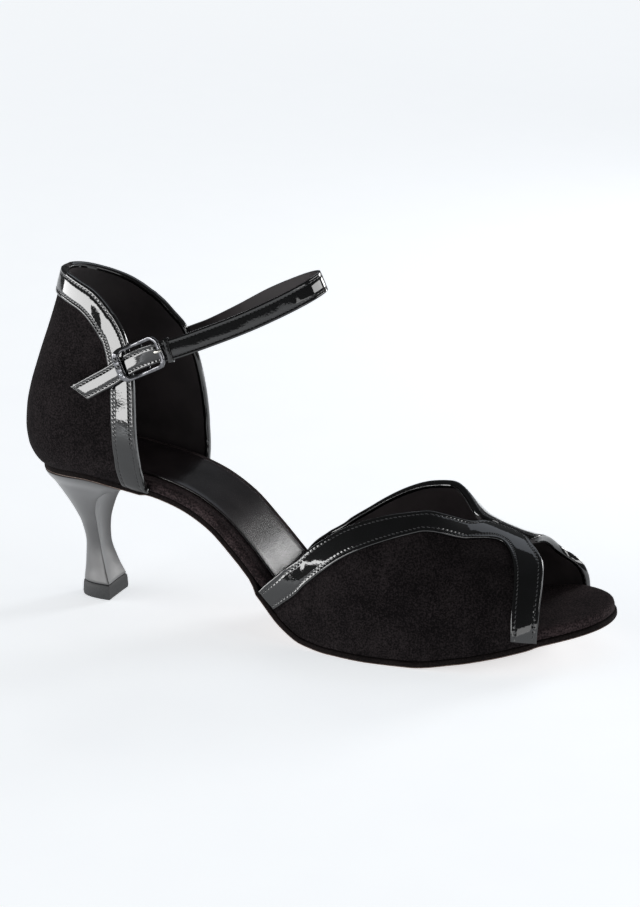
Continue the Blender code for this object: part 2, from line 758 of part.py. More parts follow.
def strap_at(distance):
    """The place, counted in rows of STRAP, at a distance along the strap from the buckle's middle."""
    at = BUCKLE_STOP
    step = math.copysign(0.05, distance)
    left = abs(distance)
    while left > 0 and 0 < at + step < len(STRAP) - 1:
        length = (strap_stop(at + step) - strap_stop(at)).length
        at += step * min(1.0, left / length)
        left -= length
    return at


def strap_place(x, y, z):
    """The same, but following the strap's bend."""
    middle, along, wide, out = strap_frame(strap_at(x))
    return middle + wide * y + out * (z + STRAP_THICKNESS / 2)


def frame_reach():
    """From the buckle's middle to the middle of its end bars."""
    return (FRAME_LENGTH - FRAME_BAR) / 2


def prong_clearance():
    """How far the prong's middle keeps from the middle of the bar that it passes."""
    return (FRAME_BAR + PRONG_BAR) / 2 + GAP


def build_strap(collection, patent):
    last = len(STRAP) - 1
    places = [last * i / 76 for i in range(76)] + [last]
    rings = []
    for at in places:
        middle, along, wide, out = strap_frame(at)
        tail = max(0.0, 1 - (strap_stop(last) - middle).length / TAIL_CUT)
        half = STRAP_WIDTH / 2
        ring = []
        for across, off in ((1.8 * tail - 1, -0.5), (1, -0.5), (1, 0.5), (1.8 * tail - 1, 0.5)):
            ring.append(middle + wide * half * across + out * STRAP_THICKNESS * off)
        rings.append(ring)
    strap = mesh_object("ankle_strap", loft(rings), patent, collection)
    soften_edges(strap, 0.0003)
    middle = prong_clearance() * 1.5 - frame_reach()
    rings = []
    for level in (-2 * STRAP_THICKNESS, STRAP_THICKNESS):
        ring = []
        for i in range(16):
            angle = 2 * math.pi * i / 16
            x = middle + HOLE_LENGTH / 2 * math.cos(angle)
            ring.append(buckle_place(x, (PRONG_BAR / 2 + GAP) * math.sin(angle), level))
        rings.append(ring)
    cut(strap, mesh_object("prong_hole", loft(rings), patent, collection))


def rounded_loop(length, height, corner, count, between_corners=0):
    """Points around a rounded rectangle, with some more on each of its straights."""
    points = []
    for k, (cx, cy) in enumerate(((1, 1), (-1, 1), (-1, -1), (1, -1))):
        for i in range(count + 1):
            angle = math.pi / 2 * (k + i / count)
            x = cx * (length / 2 - corner) + corner * math.cos(angle)
            y = cy * (height / 2 - corner) + corner * math.sin(angle)
            points.append((x, y))
        if k in (0, 2):
            x, y = points[-1]
            for i in range(1, between_corners + 1):
                points.append((x * (1 - 2 * i / (between_corners + 1)), y))
    return points


def build_buckle(collection, patent):
    """Frame with its hinge bar, prong, leather tab to the counter, keeper and three stones."""
    steel = material("Polished gunmetal", (0.5, 0.5, 0.52), 0.12, 1.0)
    reach = frame_reach()
    rail_lift = -STRAP_THICKNESS / 2
    bar_lift = FRAME_DEPTH / 2 + BAR_CLEARANCE
    rings = []
    loop = rounded_loop(FRAME_LENGTH - FRAME_BAR, FRAME_HEIGHT - FRAME_BAR, FRAME_CORNER, 4, 5)
    for i, (x, y) in enumerate(loop):
        before = loop[i - 1]
        after = loop[(i + 1) % len(loop)]
        way = Vector((after[0] - before[0], after[1] - before[1])).normalized()
        lift = rail_lift + (bar_lift - rail_lift) * min(1.0, abs(x) / (reach * 0.9)) ** 2
        broad = FRAME_BAR + (TAIL_BAR_WIDTH - FRAME_BAR) * max(0.0, x / reach) ** 6
        ring = []
        for k in range(8):
            angle = 2 * math.pi * k / 8
            across = broad / 2 * math.cos(angle)
            height = lift + FRAME_DEPTH / 2 * math.sin(angle)
            ring.append(buckle_place(x + way.y * across, y - way.x * across, height))
        rings.append(ring)
    frame = mesh_object("buckle_frame", closed_loft(rings), steel, collection)

    half = (FRAME_HEIGHT - FRAME_BAR) / 2
    hinge = -STRAP_THICKNESS - GAP - PRONG_BAR - GAP / 2 - HINGE_BAR / 2
    corners = ((-half, rail_lift), (-half, hinge), (half, hinge), (half, rail_lift))
    bar = tube(softened([buckle_place(0, y, z) for y, z in corners], 1), HINGE_BAR / 2, 8)
    join(frame, mesh_object("hinge_bar", bar, steel, collection))

    build_prong(hinge, bar_lift, reach, steel, collection)
    build_tab(hinge, patent, collection)
    build_keeper(reach, patent, collection)
    build_stones(reach, bar_lift + FRAME_DEPTH / 2, frame, collection)


def build_prong(hinge, bar_lift, reach, steel, collection):
    """Wire bent round the hinge bar, led under the strap and up through its hole, and laid on the far bar."""
    eye = (HINGE_BAR + PRONG_BAR + GAP) / 2
    path = []
    for i in range(8):
        angle = math.radians(-125 + 215 * i / 7)
        path.append((eye * math.cos(angle), hinge + eye * math.sin(angle)))
    under = -STRAP_THICKNESS - GAP - PRONG_BAR / 2
    over = bar_lift + (FRAME_DEPTH + PRONG_BAR) / 2 + GAP
    clear = prong_clearance()
    path.append((-reach * 0.4, under))
    path.append((clear * 1.9 - reach, under))
    path.append((clear * 1.55 - reach, -STRAP_THICKNESS / 2))
    path.append((clear * 1.25 - reach, bar_lift))
    path.append((clear * 0.8 - reach, over))
    path.append((-reach, over))
    path.append((-clear * 0.5 - reach, over - GAP / 2))
    points = softened([buckle_place(x, 0, z) for x, z in path], 1)
    mesh_object("buckle_prong", tube(points, PRONG_BAR / 2, 6), steel, collection)


def build_tab(hinge, leather, collection):
    """Leather strip under the strap's tail: sewn on the counter's trim, and folded round the hinge bar."""
    radius = (HINGE_BAR + GAP + TAB_THICKNESS) / 2
    seat = -STRAP_THICKNESS - GAP - TAB_THICKNESS / 2
    line = [(TAB_LENGTH * (1 - i / 6), seat) for i in range(5)]
    line.append((radius * 1.2, (seat + hinge + radius) / 2))
    for i in range(9):
        angle = math.radians(90 + 180 * i / 8)
        line.append((radius * math.cos(angle), hinge + radius * math.sin(angle)))
    line.append((TAB_FOLD * 0.55, hinge - radius * 0.35))
    line.append((TAB_FOLD, seat - TAB_THICKNESS - GAP))
    rings = []
    for i, (x, z) in enumerate(line):
        before = line[max(i - 1, 0)]
        after = line[min(i + 1, len(line) - 1)]
        way = Vector((after[0] - before[0], after[1] - before[1])).normalized() * TAB_THICKNESS / 2
        ring = []
        for across, off in ((-0.5, -1), (0.5, -1), (0.5, 1), (-0.5, 1)):
            ring.append(strap_place(x - way.y * off, across * TAB_WIDTH, z + way.x * off))
        rings.append(ring)
    tab = mesh_object("buckle_tab", loft(rings), leather, collection)
    slot = PRONG_BAR / 2 + 2 * GAP
    rings = []
    for x in (-2.5 * radius, 1.8 * radius):
        corners = ((-slot, -3 * radius), (slot, -3 * radius), (slot, 3 * radius), (-slot, 3 * radius))
        rings.append([strap_place(x, y, hinge + z) for y, z in corners])
    cut(tab, mesh_object("tab_slot", loft(rings), leather, collection))


def build_keeper(reach, leather, collection):
    """A narrow band round the strap, in front of the frame."""
    middle = -reach - FRAME_BAR / 2 - GAP - KEEPER_WIDTH / 2
    room = 2 * GAP + KEEPER_WALL
    loop = rounded_loop(STRAP_WIDTH + room, STRAP_THICKNESS + room, KEEPER_WALL, 3)
    rings = []
    for i, (y, z) in enumerate(loop):
        before = loop[i - 1]
        after = loop[(i + 1) % len(loop)]
        way = Vector((after[0] - before[0], after[1] - before[1])).normalized() * KEEPER_WALL / 2
        ring = []
        for end, off in ((-0.5, -1), (0.5, -1), (0.5, 1), (-0.5, 1)):
            x = middle + end * KEEPER_WIDTH
            ring.append(strap_place(x, y + way.y * off, z - way.x * off - STRAP_THICKNESS / 2))
        rings.append(ring)
    mesh_object("strap_keeper", closed_loft(rings), leather, collection)


def build_stones(reach, top, frame, collection):
    """Three domed stones let into the frame's tail-side bar."""
    glass = material("Cut glass stone", (0.05, 0.05, 0.06), 0.05)
    radius = STONE_SIZE / 2
    floor = top - radius * 0.6
    for name, step in (("upper", 1), ("middle", 0), ("lower", -1)):
        rings = []
        for share, wide in ((0.0, 0.96), (0.1, 1.0), (0.65, 1.0), (0.9, 0.8), (1.0, 0.4)):
            height = floor + GAP / 2 + radius * share
            rings.append(disc(reach, step * STONE_PITCH, height, radius * wide))
        mesh_object("buckle_stone_" + name, loft(rings), glass, collection)
        rings = [disc(reach, step * STONE_PITCH, floor + up, radius + GAP / 2) for up in (0, radius * 3)]
        cut(frame, mesh_object("stone_seat_" + name, loft(rings), glass, collection))


def disc(x, y, z, radius, sides=12):
    angles = [2 * math.pi * i / sides for i in range(sides)]
    return [buckle_place(x + radius * math.cos(angle), y + radius * math.sin(angle), z) for angle in angles]


def tube(points, radius, sides):
    """A round bar along a line of points."""
    rings = []
    side = None
    for i, point in enumerate(points):
        along = (points[min(i + 1, len(points) - 1)] - points[max(i - 1, 0)]).normalized()
        side = along.orthogonal() if side is None else side - along * side.dot(along)
        side.normalize()
        up = along.cross(side)
        rings.append([])
        for k in range(sides):
            angle = 2 * math.pi * k / sides
            rings[-1].append(point + (side * math.cos(angle) + up * math.sin(angle)) * radius)
    return loft(rings)


def cut(kept, cutter):
    modifier = kept.modifiers.new("Cut", "BOOLEAN")
    modifier.operation = "DIFFERENCE"
    modifier.solver = "EXACT"
    modifier.object = cutter
    hide(cutter)


def join(kept, added):
    """Makes one solid of two that overlap."""
    modifier = kept.modifiers.new("Join", "BOOLEAN")
    modifier.operation = "UNION"
    modifier.solver = "EXACT"
    modifier.object = added
    hide(added)


def hide(made):
    """Takes a cutter out of the render, into the collection of cutters."""
    cutters = bpy.data.collections.get("cutters")
    if cutters is None:
        cutters = bpy.data.collections.new("cutters")
        bpy.context.scene.collection.children.link(cutters)
    for collection in list(made.users_collection):
        collection.objects.unlink(made)
    cutters.objects.link(made)
    made.hide_render = True
    made.display_type = "WIRE"


def closed_loft(rings):
    """A ring-shaped body whose last section joins its first."""
    mesh = bmesh.new()
    made = [[mesh.verts.new(point) for point in ring] for ring in rings]
    for k, below in enumerate(made):
        above = made[(k + 1) % len(made)]
        for i in range(len(below)):
            j = (i + 1) % len(below)
            mesh.faces.new((below[i], below[j], above[j], above[i]))
    bmesh.ops.recalc_face_normals(mesh, faces=mesh.faces)
    return mesh


def main():
    for old in list(bpy.data.objects):
        bpy.data.objects.remove(old, do_unlink=True)
    shoe = bpy.data.collections.new("ballroom_dance_shoe")
    bpy.context.scene.collection.children.link(shoe)
    suede = material("Black suede", (0.012, 0.010, 0.011), 0.95)
    patent = material("Patent leather", (0.010, 0.010, 0.011), 0.12)
    build_bottom(shoe)
    build_heel(shoe)
    build_counter(shoe, suede, patent)
    build_vamp(shoe, suede, patent)
    build_strap(shoe, patent)
    build_buckle(shoe, patent)


if __name__ == "__main__":
    main()
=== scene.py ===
# %% [markdown]
# # A ballroom dance shoe for the right foot
# The shoe has a high suede counter round the heel, an open waist, a suede vamp with an open toe, bands of
# black patent leather along every free edge, an ankle strap with a small buckle, and a slim flared heel.
# The CAD model gives every size and place. This file gives the looks: finer surfaces on the same sizes,
# seams, stitches, and a material for each piece that starts from what the real one is made of.
# First the CAD model is loaded as a fixed frame, so that each new piece can stand where its solid stands.

# %% Load the frame
import math
from bisect import bisect_right
from collections import namedtuple
from functools import lru_cache

import bmesh
import bpy
from mathutils import Matrix, Vector


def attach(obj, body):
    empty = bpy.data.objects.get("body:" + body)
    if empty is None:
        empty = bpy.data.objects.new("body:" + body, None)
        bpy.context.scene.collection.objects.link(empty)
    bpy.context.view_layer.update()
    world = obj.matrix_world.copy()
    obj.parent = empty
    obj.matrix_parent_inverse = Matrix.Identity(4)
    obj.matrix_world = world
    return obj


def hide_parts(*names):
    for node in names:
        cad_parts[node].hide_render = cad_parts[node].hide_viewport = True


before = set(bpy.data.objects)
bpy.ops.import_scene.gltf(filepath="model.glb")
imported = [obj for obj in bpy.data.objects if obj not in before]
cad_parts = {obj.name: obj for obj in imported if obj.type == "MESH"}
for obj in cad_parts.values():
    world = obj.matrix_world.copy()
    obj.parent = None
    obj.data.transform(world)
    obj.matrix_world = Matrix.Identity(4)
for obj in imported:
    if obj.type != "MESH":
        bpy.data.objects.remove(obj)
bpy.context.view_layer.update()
print("CAD nodes:", len(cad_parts))

# %% [markdown]
# ## The camera
# The photograph looks down on the outer side of the shoe from a metre away, a little from the toe's side.
# A long lens keeps the heel and the toe in natural proportion. The camera looks at a target between them.

# %% Camera
AZIMUTH = math.radians(20.28)
ELEVATION = math.radians(16.5)
TARGET = Vector((0.09221, 0.0, 0.06688))
DISTANCE = 1.0
LENS_LENGTH = 104.72
SENSOR_WIDTH = 36.0

level = math.cos(ELEVATION)
back = Vector((math.sin(AZIMUTH) * level, -math.cos(AZIMUTH) * level, math.sin(ELEVATION)))
lens = bpy.data.cameras.new("camera")
lens.lens = LENS_LENGTH
lens.sensor_width = SENSOR_WIDTH
lens.clip_start = 0.05
camera = bpy.data.objects.new("camera", lens)
bpy.context.scene.collection.objects.link(camera)
camera.location = TARGET + back * DISTANCE
camera.rotation_euler = back.to_track_quat("Z", "Y").to_euler()
bpy.context.scene.camera = camera
print("camera at", [round(value, 3) for value in camera.location])

# %% [markdown]
# ## The sizes of the shoe
# The pieces share one set of sizes in metres, the same as the CAD model's. Lengths run along the shoe from
# the heel end, and everything is moved at the end so that the origin lies under the heel's tip.

# %% Sizes
SHOE_LENGTH = 0.2365
BALL_WIDTH = 0.076
HEEL_HEIGHT = 0.054
TOE_SPRING = 0.010
BACK_HEIGHT = 0.1318
INSTEP_HEIGHT = 0.058
GAP = 0.0003
WALL_ROOM = 0.0005
SOLE_THICKNESS = 0.0022
INSOLE_THICKNESS = 0.0040
SOCK_THICKNESS = 0.0008
UPPER_WALL = 0.0016
TRIM_THICKNESS = 0.0009
STRAP_THICKNESS = 0.0018
SOCK_INSET = 0.0055
SOCK_FRONT = 0.198
SEAT_BACK = 0.0110
HEEL_ROUND = 0.030
TOE_ROUND = 0.046
BACK_ARC = 0.042
OUTLINE_POWER = 2.25
TRIM_WIDTH = 0.0092
STRAP_WIDTH = 0.0078
TIP_HEIGHT = 0.0060
TIP_BACK = 0.0232
TIP_FRONT = 0.0370
TIP_HALF_WIDTH = 0.0083
TIP_FLARE = 0.0004
SEAT_HALF_WIDTH = 0.0236
HEEL_FRONT = 0.0500
ORIGIN = Vector(((TIP_BACK + TIP_FRONT) / 2, 0, 0))
LATERAL = -1
MEDIAL = 1
print("shoe of", round(SHOE_LENGTH * 1000, 1), "mm on a heel of", round(HEEL_HEIGHT * 1000, 1), "mm")

# %% [markdown]
# ## Tables of sections
# A shoemaker's last is described by its sections. Each row holds shares of the sizes above, so a row can be
# read as a place on the real shoe: how wide the sole is there, how high it lies, and where an edge runs.

# %% Sections of the bottom, the vamp and the counter
Section = namedtuple("Section", "station lateral medial rise spring")
SECTIONS = (
    Section(0.00, 0.290, 0.290, 0.965, 0.00),
    Section(0.0793, 0.292, 0.292, 0.990, 0.00),
    Section(0.1388, 0.294, 0.292, 1.000, 0.00),
    Section(0.1983, 0.296, 0.285, 0.965, 0.00),
    Section(0.2578, 0.298, 0.275, 0.920, 0.00),
    Section(0.3074, 0.300, 0.262, 0.855, 0.00),
    Section(0.3570, 0.302, 0.252, 0.733, 0.00),
    Section(0.4065, 0.310, 0.246, 0.525, 0.00),
    Section(0.4561, 0.330, 0.250, 0.285, 0.00),
    Section(0.4958, 0.360, 0.270, 0.115, 0.00),
    Section(0.5354, 0.390, 0.300, 0.025, 0.00),
    Section(0.5850, 0.430, 0.340, 0.000, 0.00),
    Section(0.6544, 0.468, 0.410, 0.000, 0.00),
    Section(0.7238, 0.470, 0.465, 0.000, 0.03),
    Section(0.7932, 0.446, 0.484, 0.000, 0.28),
    Section(0.8527, 0.411, 0.476, 0.000, 0.58),
    Section(0.9150, 0.365, 0.490, 0.000, 0.93),
    Section(1.00, 0.300, 0.470, 0.000, 1.24),
)
Margin = namedtuple("Margin", "station lateral medial")
MARGINS = (
    Margin(0.000, 1.15, 1.15),
    Margin(0.2429, 1.15, 1.15),
    Margin(0.2558, -0.30, 1.15),
    Margin(0.2776, -0.30, 1.15),
    Margin(0.2925, -0.30, -0.30),
    Margin(0.4363, -0.30, -0.30),
    Margin(0.4482, 1.60, -0.30),
    Margin(0.4581, 1.60, -0.30),
    Margin(0.4700, 1.60, 1.60),
    Margin(0.900, 1.60, 1.60),
    Margin(0.915, 0.35, 1.60),
    Margin(0.935, 0.35, 1.60),
    Margin(0.950, 0.35, 0.35),
    Margin(1.000, 0.35, 0.35),
)
Crown = namedtuple("Crown", "station height ridge")
CROWNS = (
    Crown(0.4164, 1.040, 0.02),
    Crown(0.5453, 1.060, 0.02),
    Crown(0.6544, 1.030, 0.04),
    Crown(0.7139, 0.970, 0.06),
    Crown(0.7833, 0.690, 0.05),
    Crown(0.8626, 0.520, 0.05),
    Crown(1.00, 0.360, 0.06),
)
SIDE_POWER = 1.75
CROWN_POWER = 2.1
Level = namedtuple("Level", "share back swell")
LEVELS = (
    Level(0.00, -0.010, 0.006),
    Level(0.012, -0.010, 0.006),
    Level(0.03, -0.042, 0.022),
    Level(0.07, -0.082, 0.037),
    Level(0.12, -0.110, 0.048),
    Level(0.20, -0.124, 0.050),
    Level(0.30, -0.116, 0.037),
    Level(0.40, -0.088, 0.015),
    Level(0.50, -0.045, -0.007),
    Level(0.60, 0.002, -0.030),
    Level(0.70, 0.052, -0.052),
    Level(0.80, 0.098, -0.078),
    Level(0.90, 0.140, -0.104),
    Level(1.00, 0.178, -0.130),
)
print("sections:", len(SECTIONS), "levels:", len(LEVELS))

# %% Free edges of the counter and the vamp
Edge = namedtuple("Edge", "share lateral medial")
EDGES = (
    Edge(0.000, 0.2608, 0.2841),
    Edge(0.090, 0.2536, 0.2818),
    Edge(0.180, 0.2485, 0.2798),
    Edge(0.280, 0.2441, 0.2784),
    Edge(0.400, 0.2406, 0.2752),
    Edge(0.510, 0.2377, 0.2692),
    Edge(0.600, 0.2325, 0.2598),
    Edge(0.680, 0.2266, 0.2484),
    Edge(0.750, 0.2169, 0.2271),
    Edge(0.800, 0.2057, 0.2112),
    Edge(0.850, 0.1919, 0.1884),
    Edge(0.900, 0.1745, 0.1626),
    Edge(0.935, 0.1577, 0.1388),
    Edge(0.965, 0.1319, 0.1150),
    Edge(0.985, 0.1111, 0.0992),
    Edge(1.000, 0.0859, 0.0859),
)
Rim = namedtuple("Rim", "around throat opening")
RIMS = (
    Rim(0.000, 0.4500, 0.9104),
    Rim(0.100, 0.4943, 0.9120),
    Rim(0.200, 0.5594, 0.9110),
    Rim(0.250, 0.6068, 0.9090),
    Rim(0.300, 0.6738, 0.9063),
    Rim(0.325, 0.7125, 0.9040),
    Rim(0.350, 0.7320, 0.9010),
    Rim(0.400, 0.7585, 0.8885),
    Rim(0.440, 0.7755, 0.8765),
    Rim(0.490, 0.7870, 0.8645),
    Rim(0.560, 0.7595, 0.8755),
    Rim(0.620, 0.7318, 0.8775),
    Rim(0.660, 0.7060, 0.8790),
    Rim(0.700, 0.6624, 0.8815),
    Rim(0.780, 0.5900, 0.8895),
    Rim(0.860, 0.5216, 0.9170),
    Rim(0.940, 0.4740, 0.9275),
    Rim(1.000, 0.4512, 0.9290),
)
CROWN_SEAM = 0.475
SEAM_STEP = 0.02
CROWN_REACH = 1.05
CROWN_BULGE = 0.07
CROWN_NARROWING = 0.22
print("edge rows:", len(EDGES) + len(RIMS))

# %% Rings of the heel and stops of the ankle strap
Ring = namedtuple("Ring", "share back front half bow")
RINGS = (
    Ring(0.00, 0.00, 0.00, 0.00, 0.02),
    Ring(0.15, -0.05, -0.20, -0.12, 0.06),
    Ring(0.32, -0.07, -0.36, -0.20, 0.12),
    Ring(0.48, 0.03, -0.40, -0.12, 0.16),
    Ring(0.62, 0.23, -0.35, 0.08, 0.18),
    Ring(0.76, 0.50, -0.15, 0.36, 0.18),
    Ring(0.88, 0.76, 0.30, 0.68, 0.14),
    Ring(0.96, 0.94, 0.78, 0.92, 0.06),
    Ring(1.00, 1.00, 1.00, 1.00, 0.00),
)
Stop = namedtuple("Stop", "forward side height rests")
STRAP = (
    Stop(0.1636, 0.338, 0.6975, 1),
    Stop(0.2033, 0.333, 0.7348, 1),
    Stop(0.2640, 0.322, 0.7824, 1),
    Stop(0.3030, 0.240, 0.8164, 0),
    Stop(0.3619, 0.172, 0.8753, 0),
    Stop(0.4214, 0.138, 0.9376, 0),
    Stop(0.4769, 0.105, 0.9857, 0),
    Stop(0.5067, 0.068, 1.0070, 0),
    Stop(0.5196, 0.006, 1.0124, 0),
    Stop(0.5156, -0.058, 1.0034, 0),
    Stop(0.4958, -0.110, 0.9803, 0),
    Stop(0.4581, -0.150, 0.9429, 0),
    Stop(0.4115, -0.197, 0.9020, 0),
    Stop(0.3570, -0.255, 0.8611, 0),
    Stop(0.3081, -0.306, 0.8272, 0),
    Stop(0.2753, -0.332, 0.8103, 0),
    Stop(0.2390, -0.345, 0.7802, 1),
    Stop(0.2065, -0.350, 0.7400, 1),
    Stop(0.1748, -0.352, 0.7061, 1),
    Stop(0.1450, -0.352, 0.6742, 1),
)
STRAP_SLOPE = math.radians(24.5)
BUCKLE_STOP = 15.52
print("strap stops:", len(STRAP))

# %% [markdown]
# ## Reading a table smoothly
# Between two rows a value follows a cubic curve with limited slopes, so it never overshoots a row. Each
# column is worked out once at many even places and then read in a straight line between two of them, which
# keeps the script quick, because the surfaces below are asked for hundreds of thousands of points.

# %% Smooth columns
TABLES = {"SECTIONS": SECTIONS, "MARGINS": MARGINS, "CROWNS": CROWNS, "LEVELS": LEVELS}
TABLES.update({"EDGES": EDGES, "RIMS": RIMS, "RINGS": RINGS})
STEPS = 3000


@lru_cache(maxsize=None)
def column(name, value):
    """One column of a table, read at even places from its first row to its last."""
    xs = [row[0] for row in TABLES[name]]
    ys = [getattr(row, value) for row in TABLES[name]]
    slopes = [(b - a) / (q - p) for a, b, p, q in zip(ys, ys[1:], xs, xs[1:])]
    tangents = [slopes[0]]
    for before, after in zip(slopes, slopes[1:]):
        tangents.append(2 * before * after / (before + after) if before * after > 0 else 0.0)
    tangents.append(slopes[-1])
    found = []
    k = 0
    for i in range(STEPS + 1):
        at = xs[0] + (xs[-1] - xs[0]) * i / STEPS
        while k < len(xs) - 2 and xs[k + 1] <= at:
            k += 1
        step = xs[k + 1] - xs[k]
        t = (at - xs[k]) / step
        first = (1 + 2 * t) * (1 - t) ** 2 * ys[k] + t * (1 - t) ** 2 * step * tangents[k]
        found.append(first + t * t * (3 - 2 * t) * ys[k + 1] + t * t * (t - 1) * step * tangents[k + 1])
    return xs[0], STEPS / (xs[-1] - xs[0]), found


def between(name, value, at):
    start, scale, values = column(name, value)
    place = min(max((at - start) * scale, 0.0), STEPS - 1e-6)
    k = int(place)
    return values[k] + (values[k + 1] - values[k]) * (place - k)


def bent(a, b, c, d, part):
    """A smooth curve's value at a part of the way from b to c, where a and d are the values beyond them."""
    lift = 2 * a - 5 * b + 4 * c - d
    return (2 * b + (c - a) * part + lift * part * part + (3 * b - a - 3 * c + d) * part**3) / 2


def powered(value, power):
    """A power that keeps the sign. It turns a circle's sine and cosine into a box with soft corners."""
    return math.copysign(abs(value) ** power, value)


ball_width = BALL_WIDTH * 2 * between("SECTIONS", "lateral", 0.65)
print("sole at the ball is", round(ball_width * 1000, 1), "mm wide")

# %% [markdown]
# ## The surfaces of the last
# The upper is stretched over a last, so three small functions describe everything: the sole's outline and
# profile, the vamp's arch over the foot, and the counter that wraps the heel. Each takes two places along
# the surface and gives a point, and a normal comes from its neighbours.

# %% Outline and profile of the sole
def round_off(share):
    share = min(max(share, 0.0), 1.0)
    return (1 - (1 - share) ** OUTLINE_POWER) ** (1 / OUTLINE_POWER)


def edge(x, side, out=0.0):
    """Sideways place of an outline that runs a given distance outside the insole's."""
    lateral = BALL_WIDTH * between("SECTIONS", "lateral", x / SHOE_LENGTH)
    medial = BALL_WIDTH * between("SECTIONS", "medial", x / SHOE_LENGTH)
    heel = round_off((x - SEAT_BACK + out) / (HEEL_ROUND + out))
    toe = round_off((SHOE_LENGTH + out - x) / (TOE_ROUND + out))
    return (medial - lateral) / 2 + side * ((medial + lateral) / 2 + out) * heel * toe


def profile(x):
    station = x / SHOE_LENGTH
    heel = HEEL_HEIGHT * between("SECTIONS", "rise", station)
    return heel + TOE_SPRING * between("SECTIONS", "spring", station)


def sole_point(x, y, up):
    step = 0.001
    slope = (profile(x + step) - profile(x - step)) / (2 * step)
    length = math.hypot(1, slope)
    return Vector((x - up * slope / length, y, profile(x) + up / length))


print("arch height under the waist:", round(profile(0.35 * SHOE_LENGTH) * 1000, 1), "mm")

# %% The vamp's arch and the counter's wall
def vamp_point(x, around):
    angle = math.pi * min(max(around, 0.0), 1.0)
    station = x / SHOE_LENGTH
    left = edge(x, LATERAL, WALL_ROOM)
    right = edge(x, MEDIAL, WALL_ROOM)
    lift = math.sin(angle) ** (2 / CROWN_POWER)
    swing = powered(-math.cos(angle), 2 / SIDE_POWER)
    ridge = BALL_WIDTH * between("CROWNS", "ridge", station)
    height = INSTEP_HEIGHT * between("CROWNS", "height", station)
    y = (left + right) / 2 * (1 - lift**2) + ridge * lift**2 + swing * (right - left) / 2
    return sole_point(x, y, SOLE_THICKNESS + WALL_ROOM) + Vector((0, 0, height * lift))


def counter_back(share):
    return SEAT_BACK - GAP + HEEL_HEIGHT * between("LEVELS", "back", share)


def counter_run(share, forward):
    """Distance around the counter from the middle of its back to a place at a given distance forward."""
    ahead = forward - counter_back(share)
    if ahead >= HEEL_ROUND:
        return BACK_ARC + ahead - HEEL_ROUND
    turned = math.acos((1 - max(ahead, 0.0) / HEEL_ROUND) ** (OUTLINE_POWER / 2))
    return BACK_ARC * turned / (math.pi / 2)


def counter_half(x, share, side):
    name = "medial" if side == MEDIAL else "lateral"
    sole = BALL_WIDTH * between("SECTIONS", name, x / SHOE_LENGTH)
    return sole + GAP + HEEL_HEIGHT * between("LEVELS", "swell", share)


def counter_point(run, share):
    side = MEDIAL if run > 0 else LATERAL
    angle = min(abs(run) / BACK_ARC, 1.0) * math.pi / 2
    ahead = HEEL_ROUND * (1 - max(math.cos(angle), 0.0) ** (2 / OUTLINE_POWER))
    ahead += max(0.0, abs(run) - BACK_ARC)
    x = counter_back(share) + ahead
    foot = profile(x) + SOLE_THICKNESS + GAP
    y = side * counter_half(x, share, side) * math.sin(angle) ** (2 / OUTLINE_POWER)
    return Vector((x, y, foot + (BACK_HEIGHT - foot) * share))


LENGTH_STEP = 1e-4
SHARE_STEP = 2e-3


def spans(surface, u, v):
    """How far a surface goes in two small steps each way, along it and across it."""
    along = surface(u + LENGTH_STEP, v) - surface(u - LENGTH_STEP, v)
    across = surface(u, v + SHARE_STEP) - surface(u, v - SHARE_STEP)
    return along, across


def outward(surface, u, v):
    along, across = spans(surface, u, v)
    normal = along.cross(across).normalized()
    return -normal if surface is counter_point else normal


print("counter height at the back:", round((counter_point(0, 1).z - counter_point(0, 0).z) * 1000, 1), "mm")

# %% [markdown]
# ## Two ways to make a skin
# Most pieces are a grid that is laid over one of those surfaces, or a grid that is rolled into a sleeve
# with any cross-section. Blender makes the grid, each of its points is moved into place, points that meet
# are merged, and open ends are filled. Solidify and Bevel then give thickness and worn edges.

# %% Sheet, sleeve and finish
def grid(across, along, place, paint=None):
    """A grid of across by along squares whose points go to place(u, v), with u and v from 0 to 1."""
    mesh = bmesh.new()
    bmesh.ops.create_grid(mesh, x_segments=across, y_segments=along, size=0.5)
    for face in mesh.faces:
        middle = face.calc_center_median()
        face.material_index = paint(middle.x + 0.5, middle.y + 0.5) if paint else 0
        face.smooth = True
    for point in mesh.verts:
        point.co = place(round(point.co.x + 0.5, 6), round(point.co.y + 0.5, 6))
    bmesh.ops.remove_doubles(mesh, verts=mesh.verts, dist=1e-6)
    return mesh


def closed(mesh):
    """Fills open ends, and turns all faces outwards."""
    bmesh.ops.holes_fill(mesh, edges=[wire for wire in mesh.edges if wire.is_boundary], sides=0)
    bmesh.ops.recalc_face_normals(mesh, faces=mesh.faces)
    return mesh


def added(mesh, other):
    """Puts all of another bmesh into this one."""
    data = bpy.data.meshes.new("added")
    other.to_mesh(data)
    other.free()
    mesh.from_mesh(data)
    bpy.data.meshes.remove(data)


def piece(name, mesh, *surfaces, moved=True):
    """An object from a bmesh, in the frame of the CAD model."""
    if moved:
        bmesh.ops.translate(mesh, vec=-ORIGIN, verts=mesh.verts)
    data = bpy.data.meshes.new(name)
    mesh.to_mesh(data)
    mesh.free()
    for surface in surfaces:
        data.materials.append(surface)
    made = bpy.data.objects.new(name, data)
    bpy.context.scene.collection.objects.link(made)
    return made


def shell(made, thickness, rim, inside):
    """Gives a sheet its wall on the side that its faces look to. rim and inside are material slots."""
    wall = made.modifiers.new("Wall", "SOLIDIFY")
    wall.thickness = thickness
    wall.offset = 1.0
    wall.use_even_offset = False
    wall.material_offset = inside
    wall.material_offset_rim = rim


